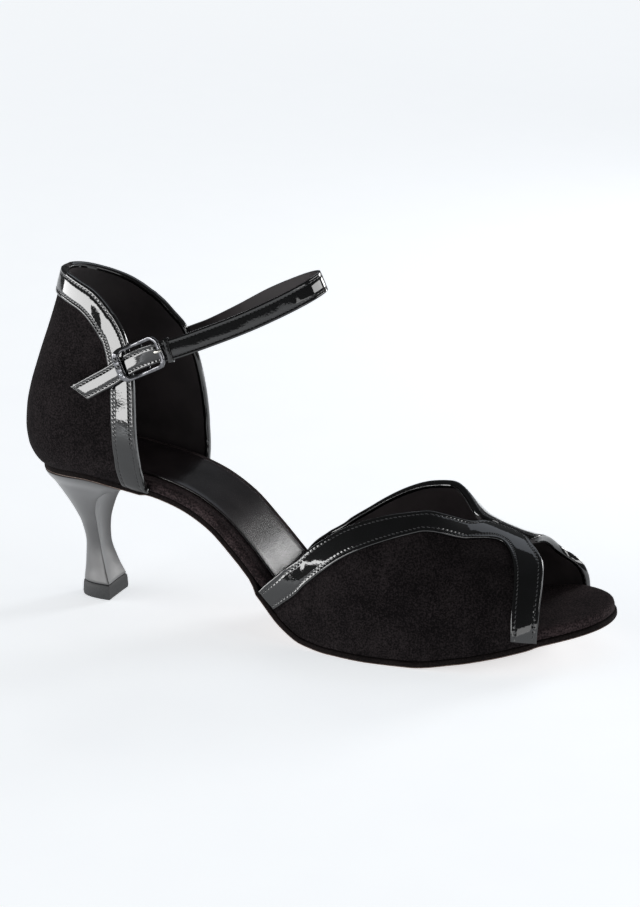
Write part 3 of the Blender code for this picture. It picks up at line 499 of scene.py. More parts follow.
def worn(made, width, segments, angle):
    """Rounds the edges that are sharper than an angle."""
    bevel = made.modifiers.new("Worn edge", "BEVEL")
    bevel.width = width
    bevel.segments = segments
    bevel.limit_method = "ANGLE"
    bevel.angle_limit = math.radians(angle)
    bevel.use_clamp_overlap = False
    bevel.harden_normals = False


def fixed(made, angle):
    """Applies the modifiers, and shades as smooth all edges that are flatter than an angle."""
    graph = bpy.context.evaluated_depsgraph_get()
    data = bpy.data.meshes.new_from_object(made.evaluated_get(graph))
    data.name = made.name
    made.modifiers.clear()
    made.data = data
    data.shade_smooth()
    data.set_sharp_from_angle(angle=math.radians(angle))
    data.calc_loop_triangles()
    print(made.name, len(data.loop_triangles), "triangles")
    return made


def worn_by_foot(made, slot, *nodes):
    """A finished piece rides with the shoe and hides the CAD nodes that it stands for. Its slot is not
    used.
    """
    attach(made, "root")
    if nodes:
        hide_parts(*nodes)
    return made


print("ready to make skins")

# %% [markdown]
# ## Colours and nodes
# Paint and leather colours are named as sRGB hex values, as on a colour card, and one function turns them
# to the linear values that Blender works with. Another adds any shader node with its settings and links.

# %% Colour and node helpers
def linear(code):
    """An sRGB hex colour as linear red, green and blue, with full alpha."""
    parts = [int(code[i : i + 2], 16) / 255 for i in (1, 3, 5)]
    return tuple(p / 12.92 if p <= 0.04045 else ((p + 0.055) / 1.055) ** 2.4 for p in parts) + (1.0,)


def node(tree, kind, settings=None, links=None):
    """Adds a node. Settings are its own properties, its inputs, or stops of a colour ramp."""
    made = tree.nodes.new("ShaderNode" + kind)
    for name, value in (settings or {}).items():
        if name == "stops":
            for stop, (at, colour) in zip(made.color_ramp.elements, value):
                stop.position = at
                stop.color = linear(colour)
        elif hasattr(made, name):
            setattr(made, name, value)
        else:
            made.inputs[name].default_value = value
    for name, source in (links or {}).items():
        tree.links.new(source, made.inputs[name])
    return made


def per_mm(size):
    """The scale that gives a noise whose grains are about size millimetres wide, in object coordinates."""
    return 1000.0 / size


def surface(name):
    """A new material, its node tree, its shader, and the object coordinates that its patterns use."""
    made = bpy.data.materials.new(name)
    made.use_nodes = True
    tree = made.node_tree
    return made, tree, tree.nodes["Principled BSDF"], node(tree, "TexCoord").outputs["Object"]


def noise(tree, place, size, detail=2.0, **more):
    """Soft noise whose grains are about size millimetres wide."""
    settings = {"Scale": per_mm(size), "Detail": detail, **more}
    return node(tree, "TexNoise", settings, {"Vector": place}).outputs["Fac"]


def toned(tree, pattern, *stops):
    """A pattern, turned to colours by a ramp."""
    return node(tree, "ValToRGB", {"stops": stops}, {"Fac": pattern}).outputs["Color"]


def spread(tree, pattern, low, high, start=0.0, end=1.0):
    """A pattern's values from start to end, mapped to values from low to high."""
    settings = {"From Min": start, "From Max": end, "To Min": low, "To Max": high}
    return node(tree, "MapRange", settings, {"Value": pattern}).outputs["Result"]


def bumped(tree, pattern, strength, depth, invert=False, **below):
    """Relief from a pattern. A Normal below it is another relief that it lies on."""
    settings = {"Strength": strength, "Distance": depth, "invert": invert}
    return node(tree, "Bump", settings, {"Height": pattern, **below}).outputs["Normal"]


def setting(shader, **values):
    """Sets a shader's inputs, each to a value or to another node's output."""
    for name, value in values.items():
        target = shader.inputs[name.replace("_", " ")]
        if isinstance(value, bpy.types.NodeSocket):
            shader.id_data.links.new(value, target)
        else:
            target.default_value = value


print("middle grey in linear light:", round(linear("#808080")[0], 3))

# %% [markdown]
# ## Black suede
# Suede is the flesh side of a hide, sanded so that short fibres stand up. It has no gloss at all: fibres
# scatter light, and at a grazing angle their tips catch it as a soft grey bloom, which the sheen gives.
# Brushing lays the nap in patches, so the black changes a little over centimetres, and single fibre tufts
# show as grain of a few tenths of a millimetre. They are drawn 0.62 mm wide, or they would be lost.

# %% Suede
def suede(name, dark, light, tuft, bloom, depth):
    made, tree, shader, place = surface(name)
    nap = noise(tree, place, tuft, 3.0, Roughness=0.7)
    patches = noise(tree, place, 14, 3.0, Distortion=0.8)
    lean = spread(tree, patches, -0.06, 0.06, 0.3, 0.7)
    pile = node(tree, "Math", {"operation": "ADD"}, {0: nap, 1: lean}).outputs[0]
    setting(shader, Base_Color=toned(tree, pile, (0.42, dark), (0.68, light)))
    setting(shader, Normal=bumped(tree, nap, 1.0, depth))
    setting(shader, Roughness=0.95, IOR=1.45, Specular_IOR_Level=0.1)
    setting(shader, Sheen_Weight=bloom, Sheen_Roughness=0.5, Sheen_Tint=linear("#6d6466"))
    return made


UPPER_SUEDE = suede("Black calf suede, brushed nap", "#090708", "#2c2728", 0.62, 0.05, 0.0004)
COVER_SUEDE = suede("Insole suede, brown-black", "#1a1516", "#473c3d", 0.7, 0.1, 0.0004)
print("suede finishes:", UPPER_SUEDE.name, "and", COVER_SUEDE.name)

# %% [markdown]
# ## Black patent leather
# Patent leather is split leather under a poured film of polyurethane. The film is a clear, hard gloss, so
# it is a coat over a black base. The eye reads it by its mirror-sharp reflections, which waver a little,
# because the film follows the leather's soft grain: waves of about 7 mm, and faint pores of 0.8 mm.

# %% Patent leather
PATENT, tree, shader, place = surface("Black patent leather, poured polyurethane film")
waves = noise(tree, place, 7, 1.0)
wavy = bumped(tree, waves, 0.2, 0.0004)
fine = bumped(tree, noise(tree, place, 0.8), 0.12, 0.0001, Normal=wavy)
setting(shader, Base_Color=toned(tree, waves, (0.35, "#020202"), (0.7, "#060607")))
setting(shader, Normal=fine, Coat_Normal=fine)
setting(shader, Roughness=0.5, IOR=1.5, Specular_IOR_Level=0.05)
setting(shader, Coat_Weight=1.0, Coat_Roughness=0.03, Coat_IOR=1.68)
print("patent film coat:", shader.inputs["Coat Weight"].default_value)

# %% [markdown]
# ## Lining, sock and thread
# The lining is thin, smooth black goat leather with a satin finish. The sock, which the foot rests on, is
# the same kind of leather, but polished by wear, so it carries a wide soft highlight and a fine pebble of
# about 0.7 mm. The thread is waxed polyester: its twisted fibres shine softly, and paler than the film.

# %% Smooth leathers and thread
def leather(name, dark, light, pebble, roughness, depth):
    made, tree, shader, place = surface(name)
    cells = node(tree, "TexVoronoi", {"feature": "F1", "Scale": per_mm(pebble)}, {"Vector": place})
    cloud = noise(tree, place, 12, 3.0)
    setting(shader, Base_Color=toned(tree, cloud, (0.35, dark), (0.65, light)))
    setting(shader, Roughness=spread(tree, cloud, roughness - 0.05, roughness + 0.07))
    setting(shader, Normal=bumped(tree, cells.outputs["Distance"], 0.35, depth, invert=True))
    setting(shader, IOR=1.5)
    return made


LINING = leather("Black goat lining, satin", "#241f20", "#302a2b", 0.6, 0.6, 0.00006)
SOCK = leather("Sock leather, polished", "#181415", "#231e1f", 0.7, 0.22, 0.00005)

THREAD, tree, shader, place = surface("Waxed polyester thread, black")
twisted = {"bands_direction": "DIAGONAL", "Scale": per_mm(1.4), "Distortion": 1.0}
twist = node(tree, "TexWave", twisted, {"Vector": place}).outputs["Fac"]
setting(shader, Base_Color=toned(tree, twist, (0.2, "#1c1c1d"), (0.9, "#3a3a3c")))
setting(shader, Roughness=0.42, IOR=1.5, Sheen_Weight=0.15)
print("leathers:", LINING.name, "and", SOCK.name)

# %% [markdown]
# ## Sole, heel and tip
# A dance shoe has a chrome suede sole, grey-tan and rough so that it slides and grips. Its cut edge is
# inked dark, and the ink wears off the lower edge. The heel is moulded ABS with a satin black lacquer, and
# its tip is a rubber top piece, matt, with fine moulding speckle.

# %% Sole, heel and tip finishes
SOLE = suede("Chrome suede sole, tan", "#6b5c54", "#998b83", 0.7, 0.1, 0.0004)
EDGE_INK = suede("Inked sole edge, brown-black", "#0f0c0c", "#241e1d", 0.5, 0.05, 0.0003)

LACQUER, tree, shader, place = surface("Satin black lacquer on ABS")
flow = noise(tree, place, 9)
setting(shader, Base_Color=toned(tree, flow, (0.3, "#292829"), (0.7, "#313031")))
setting(shader, Roughness=spread(tree, flow, 0.42, 0.52))
setting(shader, Normal=bumped(tree, noise(tree, place, 0.35), 0.1, 0.00005))
setting(shader, IOR=1.5, Coat_Weight=1.0, Coat_Roughness=0.36, Coat_IOR=1.7)

RUBBER, tree, shader, place = surface("Moulded rubber top piece")
grain = noise(tree, place, 0.5, 3.0)
setting(shader, Base_Color=toned(tree, grain, (0.35, "#202122"), (0.7, "#303133")))
setting(shader, Normal=bumped(tree, grain, 0.5, 0.0001), Roughness=0.6, IOR=1.52)
print("finishes below the upper:", [made.name for made in (SOLE, EDGE_INK, LACQUER, RUBBER)])

# %% [markdown]
# ## Buckle metal and stones
# The buckle is a zinc casting, polished and plated in dark nickel, which shoemakers call gunmetal. The
# prong is steel wire in bright nickel. Plating leaves tiny differences in polish, so its roughness varies
# a little. The stones are pressed black glass, and one is clear glass on foil, which throws light back.

# %% Metal and glass
def plating(name, dark, light):
    made, tree, shader, place = surface(name)
    haze = noise(tree, place, 1.5, 4.0)
    setting(shader, Base_Color=toned(tree, haze, (0.3, dark), (0.7, light)))
    setting(shader, Roughness=spread(tree, haze, 0.14, 0.26), Metallic=1.0)
    return made


def glass(name, dark, light, metallic):
    made, tree, shader, place = surface(name)
    cloud = noise(tree, place, 0.7)
    setting(shader, Base_Color=toned(tree, cloud, (0.35, dark), (0.65, light)))
    setting(shader, Roughness=0.04, Metallic=metallic, Coat_Weight=1.0, Coat_Roughness=0.02)
    return made


GUNMETAL = plating("Gunmetal plating on zinc", "#5f5f62", "#7f7f82")
PRONG_STEEL = plating("Bright nickel plating on steel wire", "#b9b7b0", "#d8d6cf")
JET = glass("Pressed black glass", "#050506", "#101012", 0.0)
FOILED = glass("Clear glass on foil", "#8a8d92", "#d5d8dc", 0.7)
print("metals:", GUNMETAL.name, "and", PRONG_STEEL.name)

# %% [markdown]
# ## Outsole, insole and sock
# Each layer of the bottom is a plate with the foot's outline. A sleeve suits it: a cross-section of the
# plate runs over the bottom, round one side, over the top and back, and is drawn again at every station.
# Each point of the section stands a little outside or inside the outline, so that its rim is rounded.

# %% Plates of the bottom
def plate(name, rows, ring, outline, back_end, front_end, *surfaces, paint=None):
    """A flat sleeve. A stop of ring is (share across, outside the outline, height over the sole's foot)."""
    count = len(ring) - 1

    def place(u, v):
        k = min(int(v * count + 1e-6), count - 1)
        part = v * count - k
        share, out, up = [a + (b - a) * part for a, b in zip(ring[k], ring[k + 1])]
        x = back_end - out + (front_end - back_end + 2 * out) * (1 - math.cos(math.pi * u)) / 2
        left = outline(x, LATERAL, out)
        return sole_point(x, left + (outline(x, MEDIAL, out) - left) * share, up)

    return fixed(piece(name, closed(grid(rows, count, place, paint)), *surfaces), 60)


def rim_ring(bottom, top, lower, upper, across=10, turns=4):
    """Over the top from the medial side, down the lateral side, under the bottom and up again.

    The rims are rounded, with the radius lower at the bottom and upper at the top."""
    angles = [math.pi / 2 * i / turns for i in range(turns + 1)]
    rims = []
    for share in (0.0, 1.0):
        rim = [(share, -upper * (1 - math.sin(a)), top - upper * (1 - math.cos(a))) for a in angles]
        rim += [(share, -lower * (1 - math.cos(a)), bottom + lower * (1 - math.sin(a))) for a in angles]
        rims.append(rim)
    over = [(1 - i / across, -upper, top) for i in range(1, across)]
    under = [(i / across, -lower, bottom) for i in range(1, across)]
    return rims[1][:1] + over + rims[0] + under + rims[1][::-1]


def outsole_line(x, side, out):
    name = "lateral" if side == LATERAL else "medial"
    return edge(x, side, UPPER_WALL * between("MARGINS", name, x / SHOE_LENGTH) + out)


INK_LINE = 0.00035
PLATE_ROWS = 170
ring = rim_ring(0.0, SOLE_THICKNESS, lower=0.0004, upper=0.0005)
ends = SEAT_BACK - UPPER_WALL * MARGINS[0].lateral, SHOE_LENGTH + UPPER_WALL * MARGINS[-1].lateral


def sole_paint(u, v):
    """Suede below and on the lower rim, ink on the cut edge and the top."""
    stop = ring[min(int(v * (len(ring) - 1)) + 1, len(ring) - 1)]
    return 0 if stop[2] < INK_LINE else 1


finishes = (SOLE, EDGE_INK)
outsole = plate("outsole_suede_plate", PLATE_ROWS, ring, outsole_line, *ends, *finishes, paint=sole_paint)
worn_by_foot(outsole, "outsole_suede", "outsole")

# %% Insole and sock
base = SOLE_THICKNESS + GAP
ring = rim_ring(base, base + INSOLE_THICKNESS - GAP, lower=0.0005, upper=0.0015)
insole = plate("covered_insole", PLATE_ROWS, ring, edge, SEAT_BACK, SHOE_LENGTH, COVER_SUEDE)
worn_by_foot(insole, "insole_cover", "insole")


def sock_line(x, side, out):
    left = edge(x, LATERAL, out - SOCK_INSET)
    right = edge(x, MEDIAL, out - SOCK_INSET)
    return (left + right) / 2 + side * (right - left) / 2 * round_off((SOCK_FRONT + out - x) / TOE_ROUND)


base += INSOLE_THICKNESS
ring = rim_ring(base - GAP / 2, base + SOCK_THICKNESS, lower=0.0001, upper=0.0005)
sock = plate("sock_leather_sheet", 150, ring, sock_line, SEAT_BACK + SOCK_INSET, SOCK_FRONT, SOCK)
worn_by_foot(sock, "sock_leather", "sock_lining")

# %% [markdown]
# ## Heel and top piece
# The heel starts as a circle of points in the tip. It is extruded upwards ring by ring, and each ring is
# moved to the heel's section at that height: round behind, and hollow in front, where the breast is. The
# two ridges between them stay crisp, with the small radius that a mould leaves.

# %% Heel
BACK_TURN = 0.7
BREAST_TURN = 0.3
BACK_FULLNESS = 0.96
HEEL_SIDES = 80
HEEL_RINGS = 46


def heel_section(share, turn):
    """A point of the heel at a share of its height. Turn goes round the back, then over the breast."""
    rear = TIP_BACK + (ends[0] + GAP - TIP_BACK) * between("RINGS", "back", share)
    front = TIP_FRONT + (HEEL_FRONT - TIP_FRONT) * between("RINGS", "front", share)
    half = TIP_HALF_WIDTH + (SEAT_HALF_WIDTH - TIP_HALF_WIDTH) * between("RINGS", "half", share)
    bow = (front - rear) * between("RINGS", "bow", share)
    if turn <= BACK_TURN:
        angle = math.pi * (turn / BACK_TURN - 0.5)
        room = min(front - rear, HEEL_ROUND) * BACK_FULLNESS
        x = rear + room * (1 - max(math.cos(angle), 0.0) ** (2 / OUTLINE_POWER))
        x = front if turn in (0.0, BACK_TURN) else x
        y = half * powered(math.sin(angle), 2 / OUTLINE_POWER)
    else:
        y = half * (1 - 2 * (turn - BACK_TURN) / BREAST_TURN)
        x = front - bow * (1 - (y / half) ** 2)
    base = TIP_HEIGHT + GAP
    return Vector((x, y, base + (profile(x) - GAP - base) * share))


def extruded(sides, rings, place):
    """A circle, extruded ring by ring. Ring k goes to place(turn, k), and both ends are closed."""
    mesh = bmesh.new()
    bmesh.ops.create_circle(mesh, segments=sides, radius=1.0, cap_ends=False)
    order = sorted(mesh.verts, key=lambda point: math.atan2(point.co.y, point.co.x) % (2 * math.pi))
    turns = {point: k / sides for k, point in enumerate(order)}
    layer = list(mesh.edges)
    for k in range(rings):
        for point, turn in turns.items():
            point.co = place(turn, k)
        if k == rings - 1:
            break
        marks = [(point.co.copy(), turn) for point, turn in turns.items()]
        new = bmesh.ops.extrude_edge_only(mesh, edges=layer)["geom"]
        layer = [part for part in new if isinstance(part, bmesh.types.BMEdge)]
        layer = [part for part in layer if not set(part.verts) & set(turns)]
        fresh = {point for part in layer for point in part.verts}
        turns = {point: min(marks, key=lambda mark: (mark[0] - point.co).length)[1] for point in fresh}
    return closed(mesh)


def heel_ring(turn, k):
    return heel_section(k / (HEEL_RINGS - 1), turn)


heel = piece("lacquered_heel", extruded(HEEL_SIDES, HEEL_RINGS, heel_ring), LACQUER)
worn(heel, 0.0003, segments=2, angle=38)
worn_by_foot(fixed(heel, 35), "heel_lacquer", "heel")

# %% Top piece
TipRing = namedtuple("TipRing", "height flare")
TIP_RINGS = (
    TipRing(0.0, -0.0003),
    TipRing(0.0003, TIP_FLARE),
    TipRing(0.0012, 0.0006),
    TipRing(0.0040, TIP_FLARE),
    TipRing(0.0054, 0.0002),
    TipRing(TIP_HEIGHT, -0.0002),
)


def tip_ring(turn, k):
    """A point of the tip, which flares out from the heel's own foot."""
    point = heel_section(0.0, turn)
    away = Vector((point.x - ORIGIN.x, point.y, 0)).normalized()
    return Vector((point.x, point.y, TIP_RINGS[k].height)) + away * TIP_RINGS[k].flare


tip = piece("rubber_top_piece", extruded(HEEL_SIDES, len(TIP_RINGS), tip_ring), RUBBER)
worn_by_foot(fixed(tip, 35), "tip_rubber", "heel_tip")

# %% [markdown]
# ## The counter
# The counter is one sheet of suede, lined and stiffened, that wraps the heel from one open side to the
# other. It is a grid laid on the counter's surface between its two free edges, given the wall's thickness
# outwards. The inner face takes the lining.

# %% Counter
def upper_sheet(name, across, place, centre, solid):
    """A lined suede sheet. Its faces look away from a centre inside it, and its wall is on that side."""
    mesh = grid(across, 90, place)
    mesh.normal_update()
    faces = [(face.calc_center_median() - centre, face.normal, face.calc_area()) for face in mesh.faces]
    if sum(away.dot(normal) * area for away, normal, area in faces) <= 0:
        bmesh.ops.reverse_faces(mesh, faces=mesh.faces)
    made = piece(name, mesh, UPPER_SUEDE, LINING)
    shell(made, UPPER_WALL, rim=1, inside=1)
    worn_by_foot(fixed(made, 60), "upper_suede", solid)


def counter_place(u, v):
    share = (1 - math.cos(math.pi * v)) / 2
    first = -counter_run(share, SHOE_LENGTH * between("EDGES", "lateral", share))
    last = counter_run(share, SHOE_LENGTH * between("EDGES", "medial", share))
    return counter_point(first + (last - first) * u, share)


upper_sheet("suede_counter", 170, counter_place, Vector((0.045, 0, 0.09)), "counter")

# %% The vamp
def vamp_place(u, v):
    throat = SHOE_LENGTH * between("RIMS", "throat", u)
    opening = SHOE_LENGTH * between("RIMS", "opening", u)
    return vamp_point(throat + (opening - throat) * v, u)


upper_sheet("suede_vamp", 180, vamp_place, Vector((0.16, 0, 0.015)), "vamp")

# %% [markdown]
# ## Lines on a surface
# A patent band follows a free edge of the upper. Its outer line is the edge itself, and its inner line is
# found by walking over the surface, square to the edge, for the band's width. A smooth curve through both
# lines then gives any place along the band, and how far the place lies across it.

# %% Walk, smooth and measure
LOOP_REACH = 40


def walked(surface, u, v, along, width, steps=8):
    """Where a walk over the surface ends that goes square to a direction for a width, in small steps."""
    for _ in range(steps):
        v = min(max(v, SHARE_STEP), 1 - SHARE_STEP)
        du, dv = spans(surface, u, v)
        du /= 2 * LENGTH_STEP
        dv /= 2 * SHARE_STEP
        way = outward(surface, u, v).cross(along).normalized() * (width / steps)
        a, b, c = du.dot(du), du.dot(dv), dv.dot(dv)
        p, q = du.dot(way), dv.dot(way)
        u += (p * c - q * b) / (a * c - b * b)
        v += (q * a - p * b) / (a * c - b * b)
    return u, v


def crossing(a, b, c, d):
    def turn(p, q, r):
        return (q[0] - p[0]) * (r[1] - p[1]) - (q[1] - p[1]) * (r[0] - p[0])

    return turn(a, b, c) * turn(a, b, d) < 0 and turn(c, d, a) * turn(c, d, b) < 0


def unfolded(wall):
    """Pulls together the places where the inner line of a tight bend would cross itself."""
    count = len(wall)
    for i in range(count - 2):
        for j in range(min(count - 2, i + LOOP_REACH), i + 1, -1):
            if crossing(wall[i], wall[i + 1], wall[j], wall[j + 1]):
                for m in range(i + 1, j + 1):
                    share = (m - i) / (j + 1 - i)
                    wall[m] = tuple(wall[i][k] + (wall[j + 1][k] - wall[i][k]) * share for k in (0, 1))
                return wall
    return wall


def even(surface, places, count):
    """A line's places, moved to even distances along it, and the line's length."""
    points = [surface(u, v) for u, v in places]
    lengths = [0.0]
    for a, b in zip(points, points[1:]):
        lengths.append(lengths[-1] + (b - a).length)
    found = []
    k = 0
    for i in range(count):
        at = lengths[-1] * i / (count - 1)
        while k < len(points) - 2 and lengths[k + 1] < at:
            k += 1
        part = min(max((at - lengths[k]) / (lengths[k + 1] - lengths[k]), 0.0), 1.0)
        found.append(tuple(places[k][n] + (places[k + 1][n] - places[k][n]) * part for n in (0, 1)))
    return found, lengths[-1]


def on_line(line, t):
    """A place at a share of a line's length, on a smooth curve through its points."""
    at = min(max(t, 0.0), 1.0) * (len(line) - 1)
    k = min(int(at), len(line) - 2)
    near = [line[min(max(n, 0), len(line) - 1)] for n in range(k - 1, k + 3)]
    return tuple(bent(*values, at - k) for values in zip(*near))


Band = namedtuple("Band", "surface outer inner length wraps")
bands = {}


def lay_band(name, surface, border, count, width_at, rounding, wraps):
    """Notes a band along a border. wraps(t) is 1 where that is a free edge, and 0 on the upper."""
    outer, length = even(surface, border, count)
    inner = []
    for i, (u, v) in enumerate(outer):
        along = surface(*outer[min(i + 1, count - 1)]) - surface(*outer[max(i - 1, 0)])
        inner.append(walked(surface, u, v, along.normalized(), width_at(i / (count - 1))))
    inner = unfolded(inner)
    for _ in range(rounding):
        threes = zip(inner, inner[1:], inner[2:])
        middle = [tuple((a[k] + 2 * b[k] + c[k]) / 4 for k in (0, 1)) for a, b, c in threes]
        inner = [inner[0]] + middle + [inner[-1]]
    bands[name] = Band(surface, outer, inner, length, wraps)


print("ready to lay bands along the edges")

# %% [markdown]
# ## Patent bands with their seams
# A band is two or three layers thick with its edge folded over the upper's edge, so that nothing raw shows.
# It is sewn with two rows of lockstitch, 1.4 mm from each side. The thread pulls the leather down, most
# where it goes through, and between the rows the film stands up a little. That is what breaks the
# reflections up along each seam, so it is modelled: the section of the band has two grooves, and their
# depth follows the stitches.

# %% Section of a band
STITCH_PITCH = 0.0016
STITCH_REACH = 0.4
STITCH_LEAN = 0.22
STITCH_GROUP = 20
THREAD_THICKNESS = 0.00042
THREAD_SINK = 0.00006
SEAM_INSET = 0.0014
SEAM_DIP = 0.00010
HOLE_DIP = 0.00016
DIP_WIDTH = 0.00038
FILM_PILLOW = 0.00012
FOLD_RADIUS = 0.0003
FOLD_DEPTH = 0.00075
FACE_STEPS = 22
FOLD_STEPS = 10
FACE = UPPER_WALL + GAP + TRIM_THICKNESS
UNDERSIDE = UPPER_WALL + 0.0001


def groove(distance, s):
    """How far the seam pulls the face down, at a distance across from it and a distance s along it."""
    hole = 0.5 + 0.5 * math.cos(2 * math.pi * s / STITCH_PITCH)
    return (SEAM_DIP + HOLE_DIP * hole) * math.exp(-((distance / DIP_WIDTH) ** 2))


@lru_cache(maxsize=None)
def band_ring(width):
    """The band's section, as (distance across from its outer line, height over the upper's inner face)."""
    face = []
    for i in range(FACE_STEPS + 1):
        face.append((width * (1 - i / FACE_STEPS) - FOLD_RADIUS * (1 - 2 * i / FACE_STEPS), FACE))
    fold = []
    for i in range(1, FOLD_STEPS):
        angle = math.pi * i / FOLD_STEPS
        height = FACE / 2 * (1 + math.cos(angle)) - 0.0001 * (1 - math.cos(angle)) / 2
        fold.append((FOLD_RADIUS - FOLD_DEPTH * math.sin(angle), height))
    under = [(0.0007, -0.0001), (0.0013, -0.00008), (0.0014, 0.0003), (0.0009, 0.0012), (0.0016, 0.00175)]
    under += [(width - 0.0010, 0.00175), (width - 0.0001, 0.00170)]
    lip = [(width + 0.00012, 0.0019), (width + 0.00016, 0.0023), (width + 0.00006, 0.0026)]
    return face + fold + under + lip + [(width - 0.0001, FACE - 0.00008)]


BandPlace = namedtuple("BandPlace", "u0 v0 u1 v1 start way width out")


@lru_cache(maxsize=None)
def band_frame(name, t):
    """The places of the band's two lines at t, and the start, direction, width and normal of its face."""
    band = bands[name]
    u0, v0 = on_line(band.outer, t)
    u1, v1 = on_line(band.inner, t)
    start = band.surface(u0, v0)
    width = (band.surface(u1, v1) - start).length
    near = band.surface(u0 + (u1 - u0) * 0.08, v0 + (v1 - v0) * 0.08)
    way = (near - start).normalized()
    return BandPlace(u0, v0, u1, v1, start, way, width, outward(band.surface, u0, v0))


def band_point(name, t, across, height):
    """A place on a band: t along it, across from its outer line, and height over the upper's inner face."""
    u0, v0, u1, v1, start, way, width, out = band_frame(name, t)
    if across < 0:
        return start + way * across + out * height
    share = across / width
    u, v = u0 + (u1 - u0) * share, v0 + (v1 - v0) * share
    v = min(max(v, 0.0), 1.0)
    surface = bands[name].surface
    return surface(u, v) + outward(surface, u, v) * height


def one_stitch(mesh, place, t, length):
    """A grain of thread, laid along the seam and turned a little, as lockstitch lies."""
    step = STITCH_REACH * STITCH_PITCH / length
    a, b = place(t - step, 0.0), place(t + step, 0.0)
    side = place(t, 0.0004) - place(t, 0.0)
    along = b - a
    reach = along.length
    along.normalize()
    out = along.cross(side).normalized()
    side = out.cross(along)
    along = (along + side * STITCH_LEAN).normalized()
    side = out.cross(along)
    turn = Matrix((along * reach, side * THREAD_THICKNESS, out * THREAD_THICKNESS)).transposed().to_4x4()
    turn.translation = (a + b) / 2
    turn = turn @ Matrix.Rotation(math.pi / 2, 4, "Y")
    bmesh.ops.create_uvsphere(mesh, u_segments=6, v_segments=5, radius=0.5, matrix=turn)


def sewn(name, length, end, rows_at):
    """Stitches as far as an end, in one piece. rows_at(t) gives a placing function for each row at t.

    They are joined in groups, which is quicker than adding each to a mesh that keeps growing."""
    mesh = bmesh.new()
    group = bmesh.new()
    for k in range(int(end / STITCH_PITCH)):
        t = (k + 0.5) * STITCH_PITCH / length
        for place in rows_at(t):
            one_stitch(group, place, t, length)
        if k % STITCH_GROUP == STITCH_GROUP - 1:
            added(mesh, group)
            group = bmesh.new()
    added(mesh, group)
    worn_by_foot(fixed(piece(name, mesh, THREAD), 80), "patent_leather")


def sewn_band(name, steps, *nodes):
    """The patent band itself, and its two rows of stitches."""
    band = bands[name]
    count = len(band_ring(TRIM_WIDTH))

    def place(u, v):
        width = band_frame(name, u).width
        across, height = band_ring(width)[int(round(v * count)) % count]
        if height > FACE - 0.0002:
            from_seam = min(across - SEAM_INSET, width - SEAM_INSET - across, key=abs)
            pillow = math.sin(math.pi * min(max(across / width, 0.0), 1.0)) ** 2
            height += FILM_PILLOW * pillow - groove(from_seam, u * band.length)
        if height < UNDERSIDE:
            height += (UNDERSIDE - height) * (1 - band.wraps(u))
        return band_point(name, u, across, height)

    def row(across):
        return lambda t, side: band_point(name, t, across + side, FACE - THREAD_SINK)

    def rows_at(t):
        return row(SEAM_INSET), row(band_frame(name, t).width - SEAM_INSET)

    made = piece(name, closed(grid(steps, count, place)), PATENT)
    worn_by_foot(fixed(made, 70), "patent_leather", *nodes)
    sewn(name + "_stitches", band.length, band.length, rows_at)


print("stitches every", round(STITCH_PITCH * 1000, 1), "mm")

# %% Band round the counter
def counter_border(count=160):
    """Up the lateral free edge and down the medial one, with more places near the top, where they meet."""
    legs = []
    shares = [math.sin(math.pi / 2 * i / count) for i in range(count + 1)]
    for side, name in ((LATERAL, "lateral"), (MEDIAL, "medial")):
        runs = [counter_run(share, SHOE_LENGTH * between("EDGES", name, share)) for share in shares]
        legs.append([(side * run, share) for run, share in zip(runs, shares)])
    return legs[0][:-1] + legs[1][::-1]


lay_band("patent_band_counter", counter_point, counter_border(), 76, lambda t: TRIM_WIDTH, 2, lambda t: 1.0)
sewn_band("patent_band_counter", 760, "counter_trim")

# %% Bands over the vamp
def softened(points, passes):
    for _ in range(passes):
        cut = [points[0]]
        for a, b in zip(points, points[1:]):
            cut += [a.lerp(b, 0.25), a.lerp(b, 0.75)]
        points = cut + [points[-1]]
    return points


def crown_line(side):
    return CROWN_SEAM if side == LATERAL else CROWN_SEAM + SEAM_STEP


def vamp_border(side, count=60, crown_steps=6):
    """Up the throat, along the crown and down beside the toe opening, on one side."""
    line = crown_line(side)
    foot = 0.0 if side == LATERAL else 1.0
    rows = [foot + (line - foot) * share / count for share in range(count - 3)]
    throat = [(SHOE_LENGTH * between("RIMS", "throat", around), around) for around in rows]
    opening = [(SHOE_LENGTH * between("RIMS", "opening", around), around) for around in rows[::-1]]
    first = throat[-1][0]
    last = opening[0][0]
    crown = []
    for k in range(1, crown_steps):
        bulge = CROWN_BULGE * math.sin(math.pi * k / crown_steps)
        crown.append((first + (last - first) * k / crown_steps, line + bulge))
    reach = CROWN_REACH * BALL_WIDTH
    places = [Vector((u, v * reach, 0)) for u, v in throat[::4] + crown + opening[::4]]
    return [(place.x, place.y / reach) for place in softened(places, 3)]


def crown_width(side, t):
    narrowing = CROWN_NARROWING if side == MEDIAL else 0.0
    return TRIM_WIDTH * (1 - narrowing * math.sin(math.pi * t) ** 4)


VAMP_PLACES = 64
CROWN_NEAR = 0.012
CROWN_FADE = 0.03

for side, name in ((LATERAL, "patent_band_vamp_lateral"), (MEDIAL, "patent_band_vamp_medial")):
    border = vamp_border(side)
    places = even(vamp_point, border, VAMP_PLACES)[0]

    def wraps(t, places=places, line=crown_line(side)):
        from_crown = abs(on_line(places, t)[1] - line)
        return min(max((from_crown - CROWN_NEAR) / CROWN_FADE, 0.0), 1.0)

    def width_at(t, side=side):
        return side * crown_width(side, t)

    lay_band(name, vamp_point, border, VAMP_PLACES, width_at, 30, wraps)
    sewn_band(name, 520, name.replace("patent_band_vamp", "vamp_trim"))

